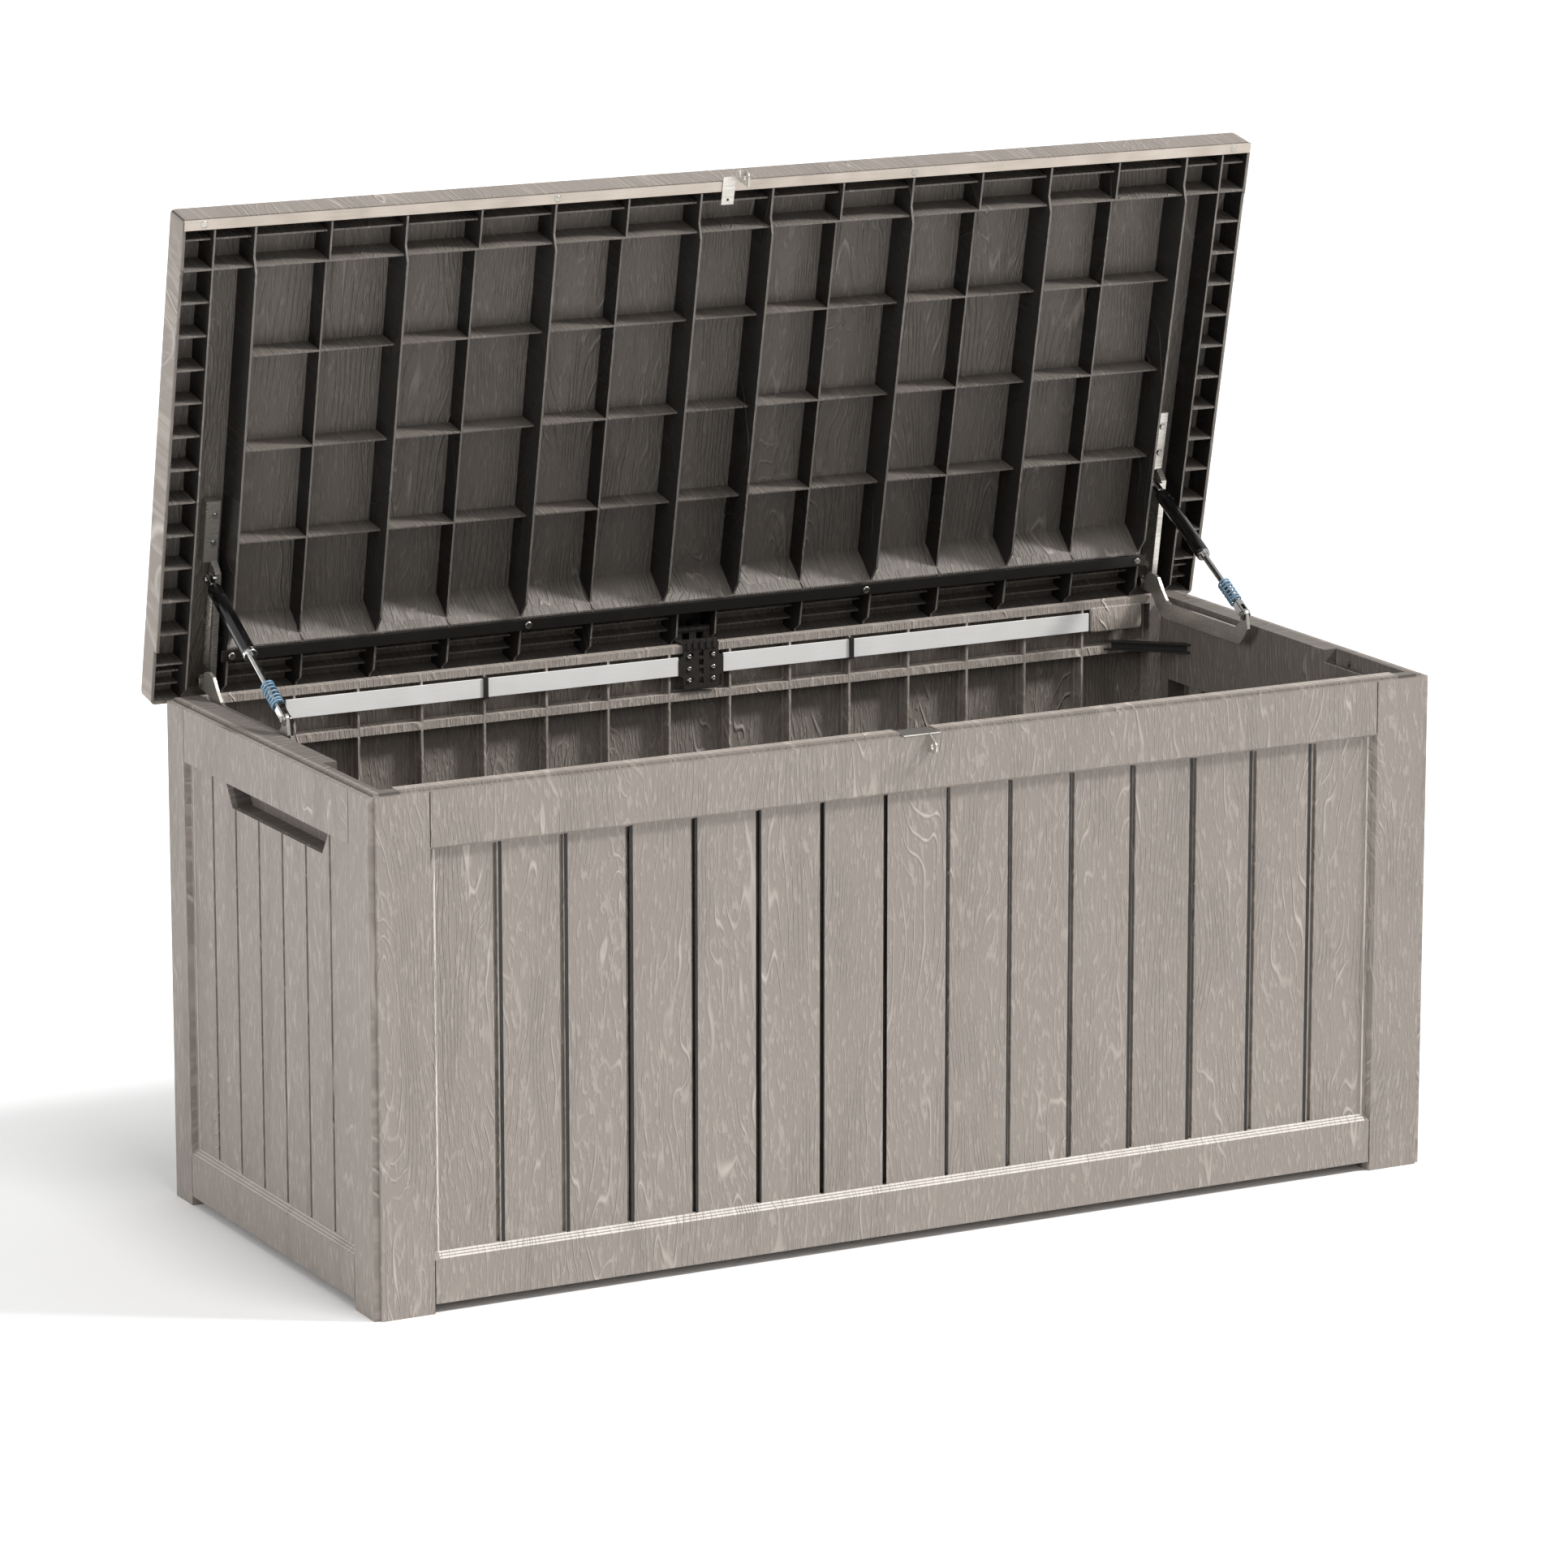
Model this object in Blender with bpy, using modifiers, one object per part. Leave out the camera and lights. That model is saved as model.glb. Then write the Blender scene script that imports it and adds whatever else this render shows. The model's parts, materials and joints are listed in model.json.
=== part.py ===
# Deck storage box: ribbed resin panels, a lid on three hinges and two compression struts.
# Metres, +Z up, X along the box, the front faces -Y.
# The lid is modelled shut and stands open on its hinge empty; the struts ride on their own empties.

import math

import bmesh
import bpy
from mathutils import Matrix, Vector

GAP = 0.0003                 # clearance between pieces that touch
EPS = 0.0005                 # how far a joined rib sinks into the wall it grows from
PAST = 0.010                 # how far a cutter runs past the surface it opens

# box body
BODY_LENGTH = 1.400
BODY_DEPTH = 0.584
LIP_HEIGHT = 0.609           # top of the outer lip
RIM_RISE = 0.0035            # the inner rim stands this much above the lip
LIP_WIDTH = 0.008
RIM_GROOVE = 0.0015
FRONT_WALL = 0.030
REAR_WALL = 0.022
END_WALL = 0.040
CORNER_STEP = 0.0075         # the front and rear plates stop short of the corner
PLATE = 0.0047               # thickness of the plate that laps over the end panels

# frame-and-plank pattern
POST = 0.0734
END_POST_FRONT = 0.0582
END_POST_REAR = 0.0530
TOP_RAIL_Z = LIP_HEIGHT - 0.0640
BOTTOM_RAIL_Z = 0.064
RAIL_CHAMFER = 0.004
LEDGE = 0.008
JAMB = 0.001
FOOT = 0.0115
RECESS = 0.008
REAR_RECESS = 0.002
GROOVE_WIDTH = 0.005
GROOVE_DEPTH = 0.005
REAR_GROOVE_DEPTH = 0.0035
LINE_WIDTH = 0.0015
LINE_DEPTH = 0.003
PLANKS = 15
END_PLANKS = 7
END_PLANK = 0.067

# ribs inside the walls
SKIN = 0.0025
RIB = 0.003
RIDGE = 0.0045               # half width of the ridge behind a groove
POCKET_FLOOR_Z = 0.040
SHELF_Z = LIP_HEIGHT - 0.0655
SHELF = 0.0102
UPPER_POCKET_TOP = 0.0060    # wall left above the upper pockets, below the lip

# hand-hold in each end
HOLD_TOP_FRONT = -0.159
HOLD_TOP_REAR = 0.131
HOLD_SLOPE = 0.017
HOLD_TOP = LIP_HEIGHT - 0.0690
HOLD_BOTTOM = LIP_HEIGHT - 0.0950
HOLD_DEPTH = 0.026
HOLD_WALL = 0.004

# spare stay notch near the front of each end
NOTCH_FRONT = 0.022
NOTCH_LENGTH = 0.155
NOTCH_DEPTH = 0.018
NOTCH_HEIGHT = 0.017
NOTCH_LIP = 0.0025
NOTCH_LIP_RISE = 0.005
BOSS_RADIUS = 0.004
BOSS_LENGTH = 0.004
BOSS_BACK = (0.030, 0.095)

# floor
FLOOR_LOW = 0.022
FLOOR_THICK = 0.012
FLOOR_SKIN = 0.004
FLOOR_BAYS = (8, 3)
FLOOR_RIB = 0.006

# lid, given shut
LID_LENGTH = BODY_LENGTH + 0.036
LID_FRONT_PROUD = 0.0015
LID_REAR_PROUD = 0.024
LID_TOP = LIP_HEIGHT + 0.0490
LID_RIM = 0.0061             # lid rim at the front, above the body lip
LID_SIDE_RIM = 0.0075
LID_REAR_RIM = 0.0145
SIDE_STEP_FRONT = 0.068
SIDE_STEP_REAR = 0.540
SKIRT = 0.004
LID_SKIN = 0.003
LID_EDGE = 0.006
LID_BAYS = 13
LID_FIELD = LID_LENGTH - 0.183
THIN_RIB = 0.0024
KEEL_RIB = 0.0028
RIB_EDGE = 0.0010            # rib edges, above the body rim
KEEL = 0.0087                # deep ribs reach this far below the rib edges
THIN_RISE = 0.0093           # thin ribs end this far above the rib edges
BAND = 0.063                 # width of the front band
BAND_LINE = 0.0287
CROSS_RIBS = (0.178, 0.297, 0.413)
RAMP_START = 0.515
RAMP_END = 0.541
RAMP_WALL = 0.0025
REAR_ROWS = (0.574, 0.590)
REAR_ROW_HEIGHT = 0.018
SIDE_RIB = LID_LENGTH / 2 - 0.040
CELLS = 13
HINGE_BAY = 0.0265
TOP_GROOVE = 0.003
TOP_GROOVE_DEPTH = 0.0016

# lid bars
BAR_THICK = 0.0015
FRONT_BAR_START = 0.0008
FRONT_BAR = 0.0137           # rear edge of the front bar, from the lid's front edge
FRONT_BAR_HALF = LID_LENGTH / 2 - 0.0012
FRONT_SCREWS = (0.692, 0.240)
REAR_BAR = 0.014
REAR_BAR_START = 0.544
REAR_BAR_HALF = LID_LENGTH / 2 - 0.083
REAR_BAR_THICK = 0.002
REAR_SCREWS = (0.6225, 0.2325)
BOSS = 0.009
SCREW_HEAD = 0.0042
SCREW_HEAD_TALL = 0.0018
SCREW_SHANK = 0.0018
SCREW_LENGTH = 0.0085

# bars on the rear wall
WALL_BAR_Z = (LIP_HEIGHT - 0.0330, LIP_HEIGHT - 0.0100)
WALL_BAR = 0.0027
WALL_BAR_END_LEFT = 0.145
WALL_BAR_END_RIGHT = 0.1495
CLIP_X = (-0.2925, 0.2095)
CLIP_WIDTH = 0.006
CLIP_THICK = 0.0018

# lid axis and opening
PIVOT_BACK = 0.0015          # axis behind the rear face of the body
PIVOT_RISE = 0.018           # axis above the lip
OPEN_ANGLE = 78.5

# centre hinge
LEAF_Z = (LIP_HEIGHT - 0.0510, LIP_HEIGHT + 0.0038)
LEAF_HALF = 0.0240
LEAF_TAB = 0.0305
LEAF_TAB_Z = (LIP_HEIGHT - 0.0370, LIP_HEIGHT - 0.0090)
LEAF_CHAMFER = 0.004
LEAF_THICK = 0.0037
FLANGE = 0.0026
KNUCKLE_RADIUS = 0.005
PIN_RADIUS = 0.002
KNUCKLE = 0.0094
TOOTH = 0.0045
TOOTH_RISE = 0.0075

# stay hinges, x from the stay's own middle
STAY_X = BODY_LENGTH / 2 - 0.0513
STRUT_X = -0.005
BRACKET_THICK = 0.004
BRACKET_EYE = 0.008
ARM_X = (0.0045, 0.012)
ARM_WIDE_X = (-0.006, 0.012)
ARM_NARROW = 0.147
ARM_LENGTH = 0.2235
ARM_EYE = 0.0075
ARM_RISE = (-0.002, 0.018)   # narrow part, from the axis
ARM_WIDE_RISE = 0.0125
ARM_HOLLOW = 0.0025
ARM_SCREWS = (0.170, 0.205)
ARM_SCREW_X = 0.0055
STAY_PIN = 0.003
STAY_HEAD = 0.0065
PEG_RADIUS = 0.0035
PEG_BACK = (0.1385, 0.2035)

# struts, from the lower pin towards the lid
ANCHOR = (-0.2505, 0.003)    # lower pin from the lid axis, (y, z)
TOP_ANCHOR = (-0.0298, 0.1298)
STRUT_PIN = 0.0025
CLEVIS = (0.0098, 0.012)     # width and height
CLEVIS_NOSE = 0.006
CLEVIS_END = 0.022
CLEVIS_SLOT = 0.0125
ROD_RADIUS = 0.004
ROD_END = 0.128
SPRING_RADIUS = 0.0072
SPRING_WIRE = 0.0013
SPRING_END = 0.0625
SPRING_TURNS = 7
COLLAR_RADIUS = 0.0088
COLLAR_START = 0.1135
COLLAR_END = 0.1185
CYLINDER_RADIUS = 0.009
CYLINDER_END = 0.238
BORE_END = 0.212
FITTING = (0.0084, 0.009)
ROLLER_RADIUS = 0.0032

# corner braces, from each rear inside corner
BRACE_X = 0.085
BRACE_Y = 0.072
BRACE_DEEP = 0.014
BRACE_Z = (LIP_HEIGHT - 0.0600, LIP_HEIGHT - 0.0480)
BRACE_WALL = 0.002

# hasp for a padlock
HASP_NOTCH = (-0.0232, 0.0262)
HASP_PLATE = 0.0015
HASP_FIN_X = 0.0115
HASP_FIN = 0.002
HASP_EYE_OUT = 0.010         # eye in front of the body
HASP_EYE_DROP = 0.013        # eye below the lip
HASP_EYE = 0.0040
HASP_ROUND = 0.0080
STRAP_X = (-0.0220, -0.0055)
STRAP_BACK = 0.030

# values that follow
HALF_LENGTH = BODY_LENGTH / 2
HALF_DEPTH = BODY_DEPTH / 2
RIM_Z = LIP_HEIGHT + RIM_RISE
INNER_FRONT = -HALF_DEPTH + FRONT_WALL
INNER_REAR = HALF_DEPTH - REAR_WALL
INNER_END = HALF_LENGTH - END_WALL
END_DEPTH = HALF_DEPTH - PLATE - GAP
PIVOT = Vector((0.0, HALF_DEPTH + PIVOT_BACK, LIP_HEIGHT + PIVOT_RISE))
LID_FRONT = -HALF_DEPTH - LID_FRONT_PROUD
LID_REAR = HALF_DEPTH + LID_REAR_PROUD
LID_HALF = LID_LENGTH / 2
LID_INNER = LID_TOP - LID_SKIN
RIB_EDGE_Z = RIM_Z + RIB_EDGE
KEEL_Z = RIB_EDGE_Z - KEEL
THIN_Z = RIB_EDGE_Z + THIN_RISE
LID_BAY = LID_FIELD / LID_BAYS
STRUT_DIR = Vector(TOP_ANCHOR) - Vector(ANCHOR)
STRUT_LENGTH = STRUT_DIR.length
STRUT_ANGLE = math.atan2(STRUT_DIR.y, STRUT_DIR.x)


# ---------------------------------------------------------------- scene and helpers

def clear_scene():
    for obj in list(bpy.data.objects):
        bpy.data.objects.remove(obj, do_unlink=True)


def new_collection(name):
    collection = bpy.data.collections.new(name)
    bpy.context.scene.collection.children.link(collection)
    return collection


def new_material(name, colour, roughness, metallic):
    material = bpy.data.materials.new(name)
    material.use_nodes = True
    shader = material.node_tree.nodes["Principled BSDF"]
    shader.inputs["Base Color"].default_value = (*colour, 1.0)
    shader.inputs["Roughness"].default_value = roughness
    shader.inputs["Metallic"].default_value = metallic
    return material


def new_empty(name, parent, location, tilt=0.0):
    empty = bpy.data.objects.new(name, None)
    parts.objects.link(empty)
    empty.parent = parent
    empty.location = location
    empty.rotation_euler = (tilt, 0.0, 0.0)
    empty.empty_display_size = 0.05
    return empty


def finish_mesh(bm, name):
    bm.normal_update()
    bmesh.ops.recalc_face_normals(bm, faces=bm.faces[:])
    mesh = bpy.data.meshes.new(name)
    bm.to_mesh(mesh)
    bm.free()
    return mesh


def add_object(name, mesh, group, collection):
    """Origin at the middle of the mesh's own box, parented to the group's empty."""
    corners = [vert.co for vert in mesh.vertices]
    middle = Vector([(min(c[i] for c in corners) + max(c[i] for c in corners)) / 2 for i in range(3)])
    mesh.transform(Matrix.Translation(-middle))
    obj = bpy.data.objects.new(name, mesh)
    collection.objects.link(obj)
    obj.parent = group["empty"]
    obj.location = middle - group["origin"]
    return obj


def add_part(name, bm, material, group):
    mesh = bm if isinstance(bm, bpy.types.Mesh) else finish_mesh(bm, name)
    obj = add_object(name, mesh, group, parts)
    mesh.materials.append(material)
    return obj


def combine(part, bm, operation, group):
    """Cuts the tool from the part, or joins it on, with a Boolean that stays live."""
    name = f"{part.name}_{operation.lower()}_{len(part.modifiers)}"
    mesh = bm if isinstance(bm, bpy.types.Mesh) else finish_mesh(bm, name)
    tool = add_object(name, mesh, group, cutters)
    tool.hide_render = True
    tool.display_type = "WIRE"
    modifier = part.modifiers.new(name, "BOOLEAN")
    modifier.operation = operation
    modifier.object = tool
    modifier.solver = "EXACT"


def cut(part, bm, group):
    combine(part, bm, "DIFFERENCE", group)


def join(part, bm, group):
    combine(part, bm, "UNION", group)


def bevel(part, width, segments=1, angle=40.0):
    modifier = part.modifiers.new("bevel", "BEVEL")
    modifier.width = width
    modifier.segments = segments
    modifier.limit_method = "ANGLE"
    modifier.angle_limit = math.radians(angle)


def block(bm, x, y, z):
    """Adds a box between two x, two y and two z values."""
    size = Vector((x[1] - x[0], y[1] - y[0], z[1] - z[0]))
    centre = Vector((x[0] + x[1], y[0] + y[1], z[0] + z[1])) / 2
    bmesh.ops.create_cube(bm, size=1.0, matrix=Matrix.LocRotScale(centre, None, size))


def blocks(boxes):
    bm = bmesh.new()
    for x, y, z in boxes:
        block(bm, x, y, z)
    return bm


def rod_between(bm, start, end, radius, segments=16):
    """Adds a cylinder between two points."""
    start = Vector(start)
    span = Vector(end) - start
    turn = Vector((0.0, 0.0, 1.0)).rotation_difference(span)
    matrix = Matrix.LocRotScale(start + span / 2, turn, None)
    bmesh.ops.create_cone(bm, cap_ends=True, segments=segments, radius1=radius, radius2=radius,
                          depth=span.length, matrix=matrix)


def cylinder(start, end, radius, segments=16):
    bm = bmesh.new()
    rod_between(bm, start, end, radius, segments)
    return bm


def arc(centre, radius, start, end, steps):
    """Points on a circle, angles in degrees."""
    turns = [math.radians(start + (end - start) * k / steps) for k in range(steps + 1)]
    return [(centre[0] + radius * math.cos(t), centre[1] + radius * math.sin(t)) for t in turns]


def outline(loops, low, high, plane):
    """A flat outline, with any holes as further loops, filled and extruded between low and high.
    plane YZ extrudes along X, plane XZ along Y and plane XY along Z."""
    curve = bpy.data.curves.new("outline", "CURVE")
    curve.dimensions = "2D"
    curve.fill_mode = "BOTH"
    curve.extrude = (high - low) / 2
    for points in loops:
        spline = curve.splines.new("POLY")
        spline.points.add(len(points) - 1)
        for point, (a, b) in zip(spline.points, points):
            point.co = (a, b, 0.0, 1.0)
        spline.use_cyclic_u = True
    middle = (low + high) / 2
    columns = {"YZ": ((0, 0, 1), (1, 0, 0), (0, 1, 0)),
               "XZ": ((1, 0, 0), (0, 0, -1), (0, 1, 0)),
               "XY": ((1, 0, 0), (0, 1, 0), (0, 0, 1))}[plane]
    shift = {"YZ": (middle, 0, 0), "XZ": (0, middle, 0), "XY": (0, 0, middle)}[plane]
    return curve_to_mesh(curve, Matrix.Translation(shift) @ Matrix(columns).to_4x4(), flat=True)


def curve_to_mesh(curve, matrix, flat=False):
    """Welds a curve's caps to its sides and returns the mesh; flat caps become whole faces."""
    holder = bpy.data.objects.new("curve_holder", curve)
    bpy.context.scene.collection.objects.link(holder)
    bpy.context.view_layer.update()
    evaluated = holder.evaluated_get(bpy.context.evaluated_depsgraph_get())
    mesh = bpy.data.meshes.new_from_object(evaluated)
    bpy.data.objects.remove(holder, do_unlink=True)
    bm = bmesh.new()
    bm.from_mesh(mesh)
    bmesh.ops.remove_doubles(bm, verts=bm.verts[:], dist=0.00002)
    if flat:
        bmesh.ops.dissolve_limit(bm, angle_limit=0.01, verts=bm.verts[:], edges=bm.edges[:])
    bmesh.ops.transform(bm, matrix=matrix, verts=bm.verts[:])
    bpy.data.meshes.remove(mesh)
    return finish_mesh(bm, "outline")


def turned(name, profile, material, group, location, direction, closed=False, steps=16):
    """A turned piece: (radius, height) points run down the outer side; direction is its axis."""
    mesh = bpy.data.meshes.new(name)
    count = len(profile)
    edges = [(k, k + 1) for k in range(count - 1)]
    if closed:
        edges.append((count - 1, 0))
    mesh.from_pydata([(radius, 0.0, height) for radius, height in profile], edges, [])
    obj = bpy.data.objects.new(name, mesh)
    parts.objects.link(obj)
    obj.parent = group["empty"]
    obj.location = Vector(location) - group["origin"]
    obj.rotation_euler = {"X": (0.0, math.pi / 2, 0.0), "Y": (-math.pi / 2, 0.0, 0.0),
                          "Z": (0.0, 0.0, 0.0)}[direction]
    screw = obj.modifiers.new("turn", "SCREW")
    screw.axis = "Z"
    screw.steps = steps
    screw.render_steps = steps
    screw.use_merge_vertices = True
    screw.merge_threshold = 0.00002
    screw.use_smooth_shade = True
    mesh.materials.append(material)
    return obj


# ---------------------------------------------------------------- walls

def wall_boxes(wall, spans):
    """Boxes given along the wall, inwards from its outer face and up."""
    boxes = []
    for along, inward, up in spans:
        side = wall["side"]
        across = sorted((side * (wall["face"] - inward[0]), side * (wall["face"] - inward[1])))
        boxes.append((along, across, up) if wall["axis"] == "X" else (across, along, up))
    return blocks(boxes)


def wall_recess(wall, along, up, depth):
    """The sunk plank field: a shallow tray with sloped edges."""
    bm = bmesh.new()
    cube = bmesh.ops.create_cube(bm, size=1.0)
    reach = PAST / depth
    for vert in cube["verts"]:
        deep = vert.co.y > 0
        slide = 1.0 if deep else -reach
        inward = depth * slide
        low_z = up[0] + LEDGE * min(slide, 1.0) * depth / RECESS
        high_z = up[1] - RAIL_CHAMFER * slide * depth / RECESS
        left = along[0] + JAMB * slide
        right = along[1] - JAMB * slide
        a = left if vert.co.x < 0 else right
        z = low_z if vert.co.z < 0 else high_z
        across = wall["side"] * (wall["face"] - inward)
        vert.co = (a, across, z) if wall["axis"] == "X" else (across, a, z)
    return bm


def groove_lines(wall):
    """Centres of the grooves between planks."""
    count = wall["planks"] - 1
    return [wall["middle"] + (k - (count - 1) / 2) * wall["pitch"] for k in range(count)]


def cut_plank_face(panel, wall, group):
    """Posts, rails, sunk planks, grooves and the thin lines beside the posts."""
    field = wall["field"]
    cut(panel, wall_recess(wall, field, (BOTTOM_RAIL_Z, TOP_RAIL_Z), wall["recess"]), group)
    ledge = LEDGE * wall["recess"] / RECESS
    chamfer = RAIL_CHAMFER * wall["recess"] / RECESS
    up = (BOTTOM_RAIL_Z + ledge + EPS, TOP_RAIL_Z - chamfer - EPS)
    depth = (wall["recess"] - EPS, wall["recess"] + wall["groove"])
    half = GROOVE_WIDTH / 2
    grooves = [((g - half, g + half), depth, up) for g in groove_lines(wall)]
    cut(panel, wall_boxes(wall, grooves), group)
    lines = []
    for a in (field[0], field[1] - LINE_WIDTH):
        lines.append(((a, a + LINE_WIDTH), (-PAST, LINE_DEPTH), (TOP_RAIL_Z + EPS, RIM_Z + PAST)))
        lines.append(((a, a + LINE_WIDTH), (-PAST, LINE_DEPTH), (-PAST, BOTTOM_RAIL_Z - EPS)))
    cut(panel, wall_boxes(wall, lines), group)
    foot_gap = ((field[0] + LINE_WIDTH / 2, field[1] - LINE_WIDTH / 2), (-PAST, wall["thick"] + PAST),
                (-PAST, FOOT))
    cut(panel, wall_boxes(wall, [foot_gap]), group)


def cut_pockets(panel, wall, rows, group):
    """Pockets between the ribs on the inner side, with a ridge left behind each groove."""
    edges = [wall["pockets"][0]] + groove_lines(wall) + [wall["pockets"][1]]
    ridge_depth = wall["recess"] + wall["groove"] + SKIN
    floor_depth = wall["recess"] + SKIN
    open_side = wall["thick"] + PAST
    shallow = []
    deep = []
    for low, high in rows:
        for k in range(len(edges) - 1):
            left = edges[k] + (RIB / 2 if k else 0.0)
            right = edges[k + 1] - (RIB / 2 if k < len(edges) - 2 else 0.0)
            shallow.append(((left, right), (ridge_depth, open_side), (low, high)))
            ridge_left = edges[k] + (RIDGE if k else RIB)
            ridge_right = edges[k + 1] - (RIDGE if k < len(edges) - 2 else RIB)
            inset = RIB / 2
            deep.append(((ridge_left, ridge_right), (floor_depth, ridge_depth + EPS),
                         (low + inset, high - inset)))
    cut(panel, wall_boxes(wall, shallow), group)
    cut(panel, wall_boxes(wall, deep), group)


def cut_lip(panel, wall, group):
    lip = ((-HALF_LENGTH, HALF_LENGTH), (-PAST, LIP_WIDTH), (LIP_HEIGHT, RIM_Z + PAST))
    cut(panel, wall_boxes(wall, [lip]), group)


def long_panel(name, side, thick, recess, groove, group):
    """Front or rear panel: a plate that laps over the ends, with its planks and ribs."""
    plate_half = HALF_LENGTH - CORNER_STEP
    core_half = INNER_END - GAP
    field_half = HALF_LENGTH - POST
    wall = {"axis": "X", "side": side, "face": HALF_DEPTH, "thick": thick, "recess": recess, "groove": groove,
            "planks": PLANKS, "middle": 0.0, "pitch": 2 * field_half / PLANKS,
            "field": (-field_half, field_half), "pockets": (-core_half + 0.018, core_half - 0.018)}
    panel = add_part(name, wall_boxes(wall, [((-plate_half, plate_half), (0.0, thick), (0.0, RIM_Z))]),
                     resin, group)
    rebates = [((-HALF_LENGTH, -core_half), (PLATE, thick + PAST), (-PAST, RIM_Z + PAST)),
               ((core_half, HALF_LENGTH), (PLATE, thick + PAST), (-PAST, RIM_Z + PAST))]
    cut(panel, wall_boxes(wall, rebates), group)
    cut_lip(panel, wall, group)
    cut_plank_face(panel, wall, group)
    upper = (SHELF_Z + SHELF, LIP_HEIGHT - UPPER_POCKET_TOP)
    cut_pockets(panel, wall, [(POCKET_FLOOR_Z, SHELF_Z), upper], group)
    return panel, wall


def end_panel(name, side, group):
    """End panel with its planks, hand-hold, ribs and the spare stay notch."""
    field = (-HALF_DEPTH + END_POST_FRONT, HALF_DEPTH - END_POST_REAR)
    wall = {"axis": "Y", "side": side, "face": HALF_LENGTH, "thick": END_WALL, "recess": RECESS,
            "groove": GROOVE_DEPTH, "planks": END_PLANKS, "middle": 0.0044, "pitch": END_PLANK,
            "field": field, "pockets": (-END_DEPTH + 0.040, END_DEPTH - 0.034)}
    box = ((-END_DEPTH, END_DEPTH), (0.0, END_WALL), (0.0, RIM_Z))
    panel = add_part(name, wall_boxes(wall, [box]), resin, group)
    cut_lip(panel, wall, group)
    corner_lips = [((-HALF_DEPTH - PAST, -HALF_DEPTH + LIP_WIDTH), (-PAST, END_WALL + PAST),
                    (LIP_HEIGHT, RIM_Z + PAST)),
                   ((HALF_DEPTH - LIP_WIDTH, HALF_DEPTH + PAST), (-PAST, END_WALL + PAST),
                    (LIP_HEIGHT, RIM_Z + PAST))]
    cut(panel, wall_boxes(wall, corner_lips), group)
    groove = ((-HALF_DEPTH + LIP_WIDTH + EPS, HALF_DEPTH - LIP_WIDTH - EPS),
              (LIP_WIDTH - EPS, LIP_WIDTH + RIM_GROOVE), (LIP_HEIGHT - RIM_GROOVE, RIM_Z + PAST))
    cut(panel, wall_boxes(wall, [groove]), group)
    cut_plank_face(panel, wall, group)
    cut_pockets(panel, wall, [(POCKET_FLOOR_Z, HOLD_BOTTOM - 2 * HOLD_WALL)], group)
    cut_hand_hold(panel, side, group)
    cut_spare_notch(panel, wall, group)
    return panel, wall


def cut_hand_hold(panel, side, group):
    """A trapezoid pocket under the top rail, its lower edge shorter."""
    points = [(HOLD_TOP_FRONT, HOLD_TOP), (HOLD_TOP_REAR, HOLD_TOP),
              (HOLD_TOP_REAR - HOLD_SLOPE, HOLD_BOTTOM), (HOLD_TOP_FRONT + HOLD_SLOPE, HOLD_BOTTOM)]
    ends = sorted((side * (HALF_LENGTH - RECESS + EPS), side * (HALF_LENGTH - RECESS - HOLD_DEPTH)))
    cut(panel, outline([points], ends[0], ends[1], "YZ"), group)


def cut_spare_notch(panel, wall, group):
    """The open notch for a second stay: a low lip, a back wall and two screw bosses."""
    front = -HALF_DEPTH + NOTCH_FRONT
    rear = front + NOTCH_LENGTH
    floor_z = LIP_HEIGHT - NOTCH_HEIGHT
    inner = END_WALL - NOTCH_LIP
    well = ((front, rear), (END_WALL - NOTCH_DEPTH, inner + EPS), (floor_z, RIM_Z + PAST))
    mouth = ((front, rear), (inner, END_WALL + PAST), (floor_z + NOTCH_LIP_RISE, RIM_Z + PAST))
    cut(panel, wall_boxes(wall, [well]), group)
    cut(panel, wall_boxes(wall, [mouth]), group)
    bosses = bmesh.new()
    wall_x = wall["side"] * (HALF_LENGTH - END_WALL + NOTCH_DEPTH)
    for back in BOSS_BACK:
        y = rear - back
        z = floor_z + BOSS_RADIUS + RIM_RISE
        rod_between(bosses, (wall_x + wall["side"] * EPS, y, z), (wall_x - wall["side"] * BOSS_LENGTH, y, z),
                    BOSS_RADIUS, 12)
    join(panel, bosses, group)


def floor_panel(group):
    x = (-INNER_END + GAP, INNER_END - GAP)
    y = (INNER_FRONT + GAP, INNER_REAR - GAP)
    z = (FLOOR_LOW, FLOOR_LOW + FLOOR_THICK)
    panel = add_part("floor_panel", blocks([(x, y, z)]), dark_resin, group)
    bay_x = (x[1] - x[0] - FLOOR_RIB) / FLOOR_BAYS[0]
    bay_y = (y[1] - y[0] - FLOOR_RIB) / FLOOR_BAYS[1]
    cells = []
    for i in range(FLOOR_BAYS[0]):
        for j in range(FLOOR_BAYS[1]):
            cell_x = (x[0] + i * bay_x + FLOOR_RIB, x[0] + (i + 1) * bay_x)
            cell_y = (y[0] + j * bay_y + FLOOR_RIB, y[0] + (j + 1) * bay_y)
            cells.append((cell_x, cell_y, (FLOOR_LOW - PAST, z[1] - FLOOR_SKIN)))
    cut(panel, blocks(cells), group)


# ---------------------------------------------------------------- rear wall fittings

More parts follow.
